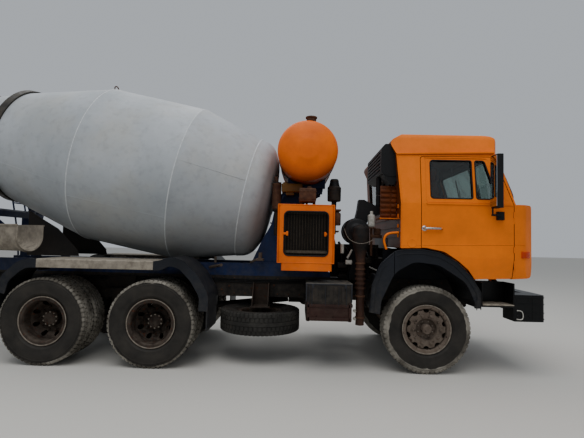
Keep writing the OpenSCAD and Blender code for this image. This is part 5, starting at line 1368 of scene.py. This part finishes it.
class MIXER_OT_frame_bolts(bpy.types.Operator):
    """Rivets of the rails, bolts of the mixer's frame, pipes along the rails and worn stubs."""

    bl_idname = "mixer.frame_bolts"
    bl_label = "Frame Hardware"

    def execute(self, context):
        low, high = RAIL_Z
        bm = bmesh.new()
        for _tag, side in SIDES:
            for x in range(-5900, 1150, 150):
                if any(start < x < end for start, end in COVERED):
                    continue
                for z in (low + 40, high - 40):
                    rod(bm, at(x, side * RAIL_Y, z), at(x, side * (RAIL_Y + 7), z), 11, 12, 7)
            for x, z in ((-2520, 930), (-2620, 880), (-2210, 905), (-1900, 950), (-2420, 1010)):
                hexagon(bm, at(x, side * RAIL_Y, z), LEFT * side, 26, 14)
        add_piece("frame_fasteners", bm, "rusty_steel")

        # Compressed air pipes and the wiring conduit clipped to the rails, sagging a little between clips
        bm = bmesh.new()
        for _tag, side in SIDES:
            for z, radius in ((985, 6), (1004, 6), (1026, 10)):
                path = [(x, side * (RAIL_Y + 14), z + 5 * math.sin(x / 260)) for x in range(-5950, -760, 120)]
                bent(bm, path, radius, 2)
            for x in range(-5900, -800, 400):
                box(bm, (x - 9, side * RAIL_Y, 974), (x + 9, side * (RAIL_Y + 26), 1040))
        add_piece("rail_pipes", bm, "seal_rubber", sharp=60)

        # Stub brackets that stick out below the drum
        bm = bmesh.new()
        for start, end, radius in (((-2790, -450, 1180), (-2600, -640, 1225), 20),
                                   ((-2230, -450, 1262), (-2080, -620, 1330), 16),
                                   ((-2090, -560, 1300), (-2090, -560, 1400), 26),
                                   ((-2720, -440, 1246), (-2720, -440, 1330), 17)):
            rod(bm, at(*start), at(*end), radius, 16)
        box(bm, (-2150, -640, 1290), (-2040, -520, 1320), 5)
        add_piece("crane_stubs", bm, "wheel_dust", sharp=40)
        return {"FINISHED"}


class MIXER_OT_battery(bpy.types.Operator):
    """Battery cover and its brown cradle, and the bands of the exhaust."""

    bl_idname = "mixer.battery"
    bl_label = "Battery Box"

    def execute(self, context):
        # Angle-iron cradle below the cover
        bm = bmesh.new()
        y = CRADLE_Y
        for z in (622, 780):
            box(bm, (-1452, y, z), (-945, y + 6, z + 40))
        box(bm, (-1436, y + 6, 640), (-960, y + 12, 800), 1)
        for x in (-1462, -962):
            box(bm, (x, y, 616), (x + 34, y + 6, 840))
            box(bm, (x, y, 616), (x + 6, y + 40, 840))
        for x in (-1380, -1200, -1030):
            hexagon(bm, at(x, y, 800), -LEFT, 18, 6)
        add_piece("battery_cradle", bm, "brown_frame")

        # Cover with its ribs, corner posts and catches
        bm = bmesh.new()
        box(bm, (-1478, -1236, 1046), (-912, -700, 1068), 8, 3)
        for x in (-1466, -926):
            box(bm, (x - 8, -1244, 850), (x + 8, -1230, 1050), 3)
        for x in (-1436, -1400, -1240, -1080, -990):
            bead(bm, [(x, -1240.5, z) for z in (800, 1030)], 4)
        for x in (-1390, -1000):
            box(bm, (x - 14, -1247, 1010), (x + 14, -1236, 1062), 3)
        add_piece("battery_cover", bm, "grey_plastic")

        bm = bmesh.new()
        for z in (640, 900, 1230, 1300):
            lathe(bm, [(50, z), (62, z + 2), (62, z + 20), (50, z + 22)], at(*EXHAUST, 0), UP, 40, closed=True)
        add_piece("exhaust_bands", bm, "rusty_steel", sharp=40)
        return {"FINISHED"}


def arch_line(inset):
    """The outer line of the front arch as [x, z], moved in by some millimetres."""
    points = [ARCH[0][:2]]
    for before, corner, after in zip(ARCH, ARCH[1:], ARCH[2:]):
        points += arc_between(before[:2], corner[:2], after[:2], corner[2], 4)
    points.append(ARCH[-1][:2])
    arms = [Vector(point) - ARCH_CENTRE for point in points]
    return [tuple(ARCH_CENTRE + arm * (1 - (inset + 8) / arm.length)) for arm in arms]


class MIXER_OT_fenders(bpy.types.Operator):
    """Beads along the edges of the front arches."""

    bl_idname = "mixer.fenders"
    bl_label = "Fenders"

    def execute(self, context):
        for tag, side in SIDES:
            front, tail = bmesh.new(), bmesh.new()
            for inset in (0, 48):
                path = [(x, side * 1252, z) for x, z in arch_line(inset)]
                bead(front, [spot for spot in path if spot[0] > ARCH_GAP[1]], 5)
                bead(tail, [spot for spot in path if spot[0] < ARCH_GAP[0]], 5)
            add_piece(f"arch_beads_{tag}", front, "arch_plastic", "cab", 50)
            add_piece(f"arch_tail_beads_{tag}", tail, "arch_plastic", sharp=50)
        return {"FINISHED"}


# Inside of the cab

# Steering wheel: middle, tilt in degrees, and the radii of the wheel and of its rim
WHEEL_CENTRE, WHEEL_TILT, WHEEL_RADIUS, RIM_RADIUS = (760, 620, 1960), 30, 225, 17


def cushion(name, low, high, crown, channels):
    """A padded vinyl cushion: crowned, pulled in at its corners, with sewn channels across it."""
    corner, far = at(*low), at(*high)
    size, centre = far - corner, (far + corner) / 2
    bm = bmesh.new()
    bmesh.ops.create_cube(bm, size=1)
    bmesh.ops.subdivide_edges(bm, edges=bm.edges, cuts=11, use_grid_fill=True)
    thin = min(range(3), key=lambda i: size[i])
    wide = [i for i in range(3) if i != thin]
    for vert in bm.verts:
        u, v = (vert.co[i] * 2 for i in wide)
        edge = (1 - abs(u) ** 4) * (1 - abs(v) ** 4)
        # The cover bulges in the middle and is drawn in along its seams
        swell = 0.62 + 0.38 * edge ** 0.5
        channel = abs(math.sin(v * math.pi * channels / 2))
        vert.co[thin] *= swell * (0.9 + 0.1 * channel ** 0.4)
        pull = 1 - 0.05 * (1 - edge) * abs(vert.co[thin])
        for i in wide:
            vert.co[i] *= pull
        vert.co[thin] += crown * 0.5 * edge * (1 if vert.co[thin] > 0 else -0.2)
    for vert in bm.verts:
        vert.co = Vector(vert.co[i] * size[i] for i in range(3)) + centre
    piece = add_piece(name, bm, "seat_vinyl", "cab", 80)
    level = piece.modifiers.new("Subdivision", "SUBSURF")
    level.levels = 1
    level.render_levels = 1


class MIXER_OT_interior(bpy.types.Operator):
    """Seats with sewn cushions, steering wheel, gauges, levers and sun visors inside the cab."""

    bl_idname = "mixer.interior"
    bl_label = "Cab Interior"

    def execute(self, context):
        for index, y in enumerate((620, -620)):
            cushion(f"seat_cushion_{index}", (-40, y - 232, 1655), (556, y + 232, 1748), 0.05, 5)
            cushion(f"seat_back_{index}", (-176, y - 222, 1700), (-62, y + 222, 2180), 0.045, 6)
        bm = bmesh.new()
        tilt = Matrix.Rotation(math.radians(WHEEL_TILT), 3, "Y")
        axis = tilt @ UP
        centre = at(*WHEEL_CENTRE)
        rim = [(WHEEL_RADIUS + RIM_RADIUS * math.cos(turn), RIM_RADIUS * math.sin(turn)) for turn in turns(10)]
        lathe(bm, rim, centre, axis, 56, closed=True)
        lathe(bm, [(1, 14), (46, 12), (56, 2), (52, -22), (1, -24)], centre, axis, 40)
        for turn in turns(3, 0.75):
            out = tilt @ Vector((math.cos(turn), math.sin(turn), 0))
            rod(bm, centre + out * 0.045 - axis * 0.006, centre + out * 0.224 - axis * 0.002, 13, 12, 9)
        add_piece("steering_wheel", bm, "black_plastic", "cab", 40)

        # Gauges, a row of switches and the glove box lid
        bm = bmesh.new()
        for y, radius in ((500, 34), (590, 46), (700, 46), (790, 34)):
            gauge = [(1, 3), (radius - 6, 3), (radius - 4, 8), (radius, 8), (radius + 2, 0), (1, 0)]
            lathe(bm, gauge, at(890, y, 1985), (-0.93, 0, 0.36), 32)
        for y in range(-200, 420, 60):
            box(bm, (868, y, 1900), (884, y + 34, 1926), 4)
        box(bm, (862, -900, 1830), (890, -420, 1960), 12)
        add_piece("dash_fittings", bm, "black_plastic", "cab", 40)

        # Gear lever and two pedals
        bm = bmesh.new()
        bent(bm, [(330, 180, 1270), (360, 190, 1500), (300, 200, 1760)], 12, 4)
        lathe(bm, [(1, 50), (20, 46), (28, 28), (22, 6), (12, 0), (1, 0)], at(300, 200, 1755), UP, 24)
        for y in (860, 560):
            box(bm, (860, y - 38, 1480), (876, y + 38, 1600), 4)
        add_piece("levers", bm, "black_plastic", "cab", 40)

        bm = bmesh.new()
        for y in (620, -620):
            box(bm, (820, y - 210, 2640), (838, y + 210, 2770), 8)
        add_piece("sun_visors", bm, "cab_lining", "cab", 40)
        return {"FINISHED"}


# Rear of the mixer

# The hopper's edge and lower seam as [x, y], the splash plate that paints shade under the drum as [x, z], and the
# ladder's two posts
HOPPER_RIM = [(-6872, 442), (-6308, 442), (-6308, -442), (-6872, -442)]
HOPPER_SEAM = [(-6812, 372), (-6372, 372), (-6372, -372), (-6812, -372)]
SHADE_SPLASH_PLATE = [(-5350, 1290), (-4620, 1290), (-4640, 1360), (-4760, 1490), (-4930, 1660), (-5350, 1900)]
SHADE_SPLASH_Y = 448
LADDER_X, LADDER_Y = -6240, (760, 1060)


class MIXER_OT_rear(bpy.types.Operator):
    """Rolled edge and seam of the hopper, splash plates that paint the shade under the drum, and ladder."""

    bl_idname = "mixer.rear"
    bl_label = "Rear of the Mixer"

    def execute(self, context):
        bm = bmesh.new()
        bead(bm, [(x, y, 3728) for x, y in HOPPER_RIM], 9, closed=True)
        bead(bm, [(x, y, 3560) for x, y in HOPPER_SEAM], 6, closed=True)
        add_piece("hopper_edge", bm, "cement_steel", sharp=50)

        # Black splash plates between the stand and the frame, their edge following the drum's outline: dark sheets
        # that paint the shade under the drum's rear cone
        bm = bmesh.new()
        for _tag, side in SIDES:
            prism(bm, SHADE_SPLASH_PLATE, side * SHADE_SPLASH_Y - 2, side * SHADE_SPLASH_Y + 2, upright=False)
            bead(bm, [(x, side * (SHADE_SPLASH_Y + 4), z) for x, z in SHADE_SPLASH_PLATE[2:]], 8)
        add_piece("shade_splash_plates", bm, "chassis_black")

        # Ladder on the left rear post, leaning back above its second rung, with two arms to the post
        bm = bmesh.new()
        near, far = LADDER_Y
        for y in LADDER_Y:
            bent(bm, [(LADDER_X, y, 900), (LADDER_X, y, 1400), (-6420, y, 2300), (-6560, y, 2900)], 14)
        for z in range(980, 2781, 225):
            x = LADDER_X - max(0, z - 1400) * 0.2
            rod(bm, at(x, near, z), at(x, far, z), 12, 10)
        for z, x in ((1150, -6200), (2420, -6440)):
            rod(bm, at(x, near - 60, z), at(x, far, z), 12, 10)
        add_piece("ladder", bm, "blue_enamel", sharp=50)
        return {"FINISHED"}


STEPS = [
    MIXER_OT_stage, MIXER_OT_finishes, MIXER_OT_tyres, MIXER_OT_wheel_hardware, MIXER_OT_drum,
    MIXER_OT_door_trim, MIXER_OT_cab_trim, MIXER_OT_cab_rear, MIXER_OT_hood, MIXER_OT_engine_parts,
    MIXER_OT_tank, MIXER_OT_lamps, MIXER_OT_bumper_trim, MIXER_OT_frame_bolts, MIXER_OT_battery,
    MIXER_OT_fenders, MIXER_OT_interior, MIXER_OT_rear,
]


class MIXER_PT_panel(bpy.types.Panel):
    """Lists the truck's groups of pieces."""

    bl_idname = "MIXER_PT_panel"
    bl_label = "Mixer Truck"
    bl_space_type = "VIEW_3D"
    bl_region_type = "UI"
    bl_category = "Mixer Truck"

    def draw(self, context):
        for group in (context.scene.mixer_finish, context.scene.mixer_sizes):
            for key in group.__annotations__:
                self.layout.prop(group, key)
        for step in STEPS:
            self.layout.operator(step.bl_idname)


CLASSES = [TruckFinish, TruckSizes, *STEPS, MIXER_PT_panel]


def register():
    for entry in CLASSES:
        bpy.utils.register_class(entry)
    bpy.types.Scene.mixer_finish = bpy.props.PointerProperty(type=TruckFinish)
    bpy.types.Scene.mixer_sizes = bpy.props.PointerProperty(type=TruckSizes)


def unregister():
    del bpy.types.Scene.mixer_sizes
    del bpy.types.Scene.mixer_finish
    for entry in reversed(CLASSES):
        bpy.utils.unregister_class(entry)


def main():
    register()
    for step in STEPS:
        group, name = step.bl_idname.split(".")
        getattr(getattr(bpy.ops, group), name)()


if __name__ == "__main__":
    main()
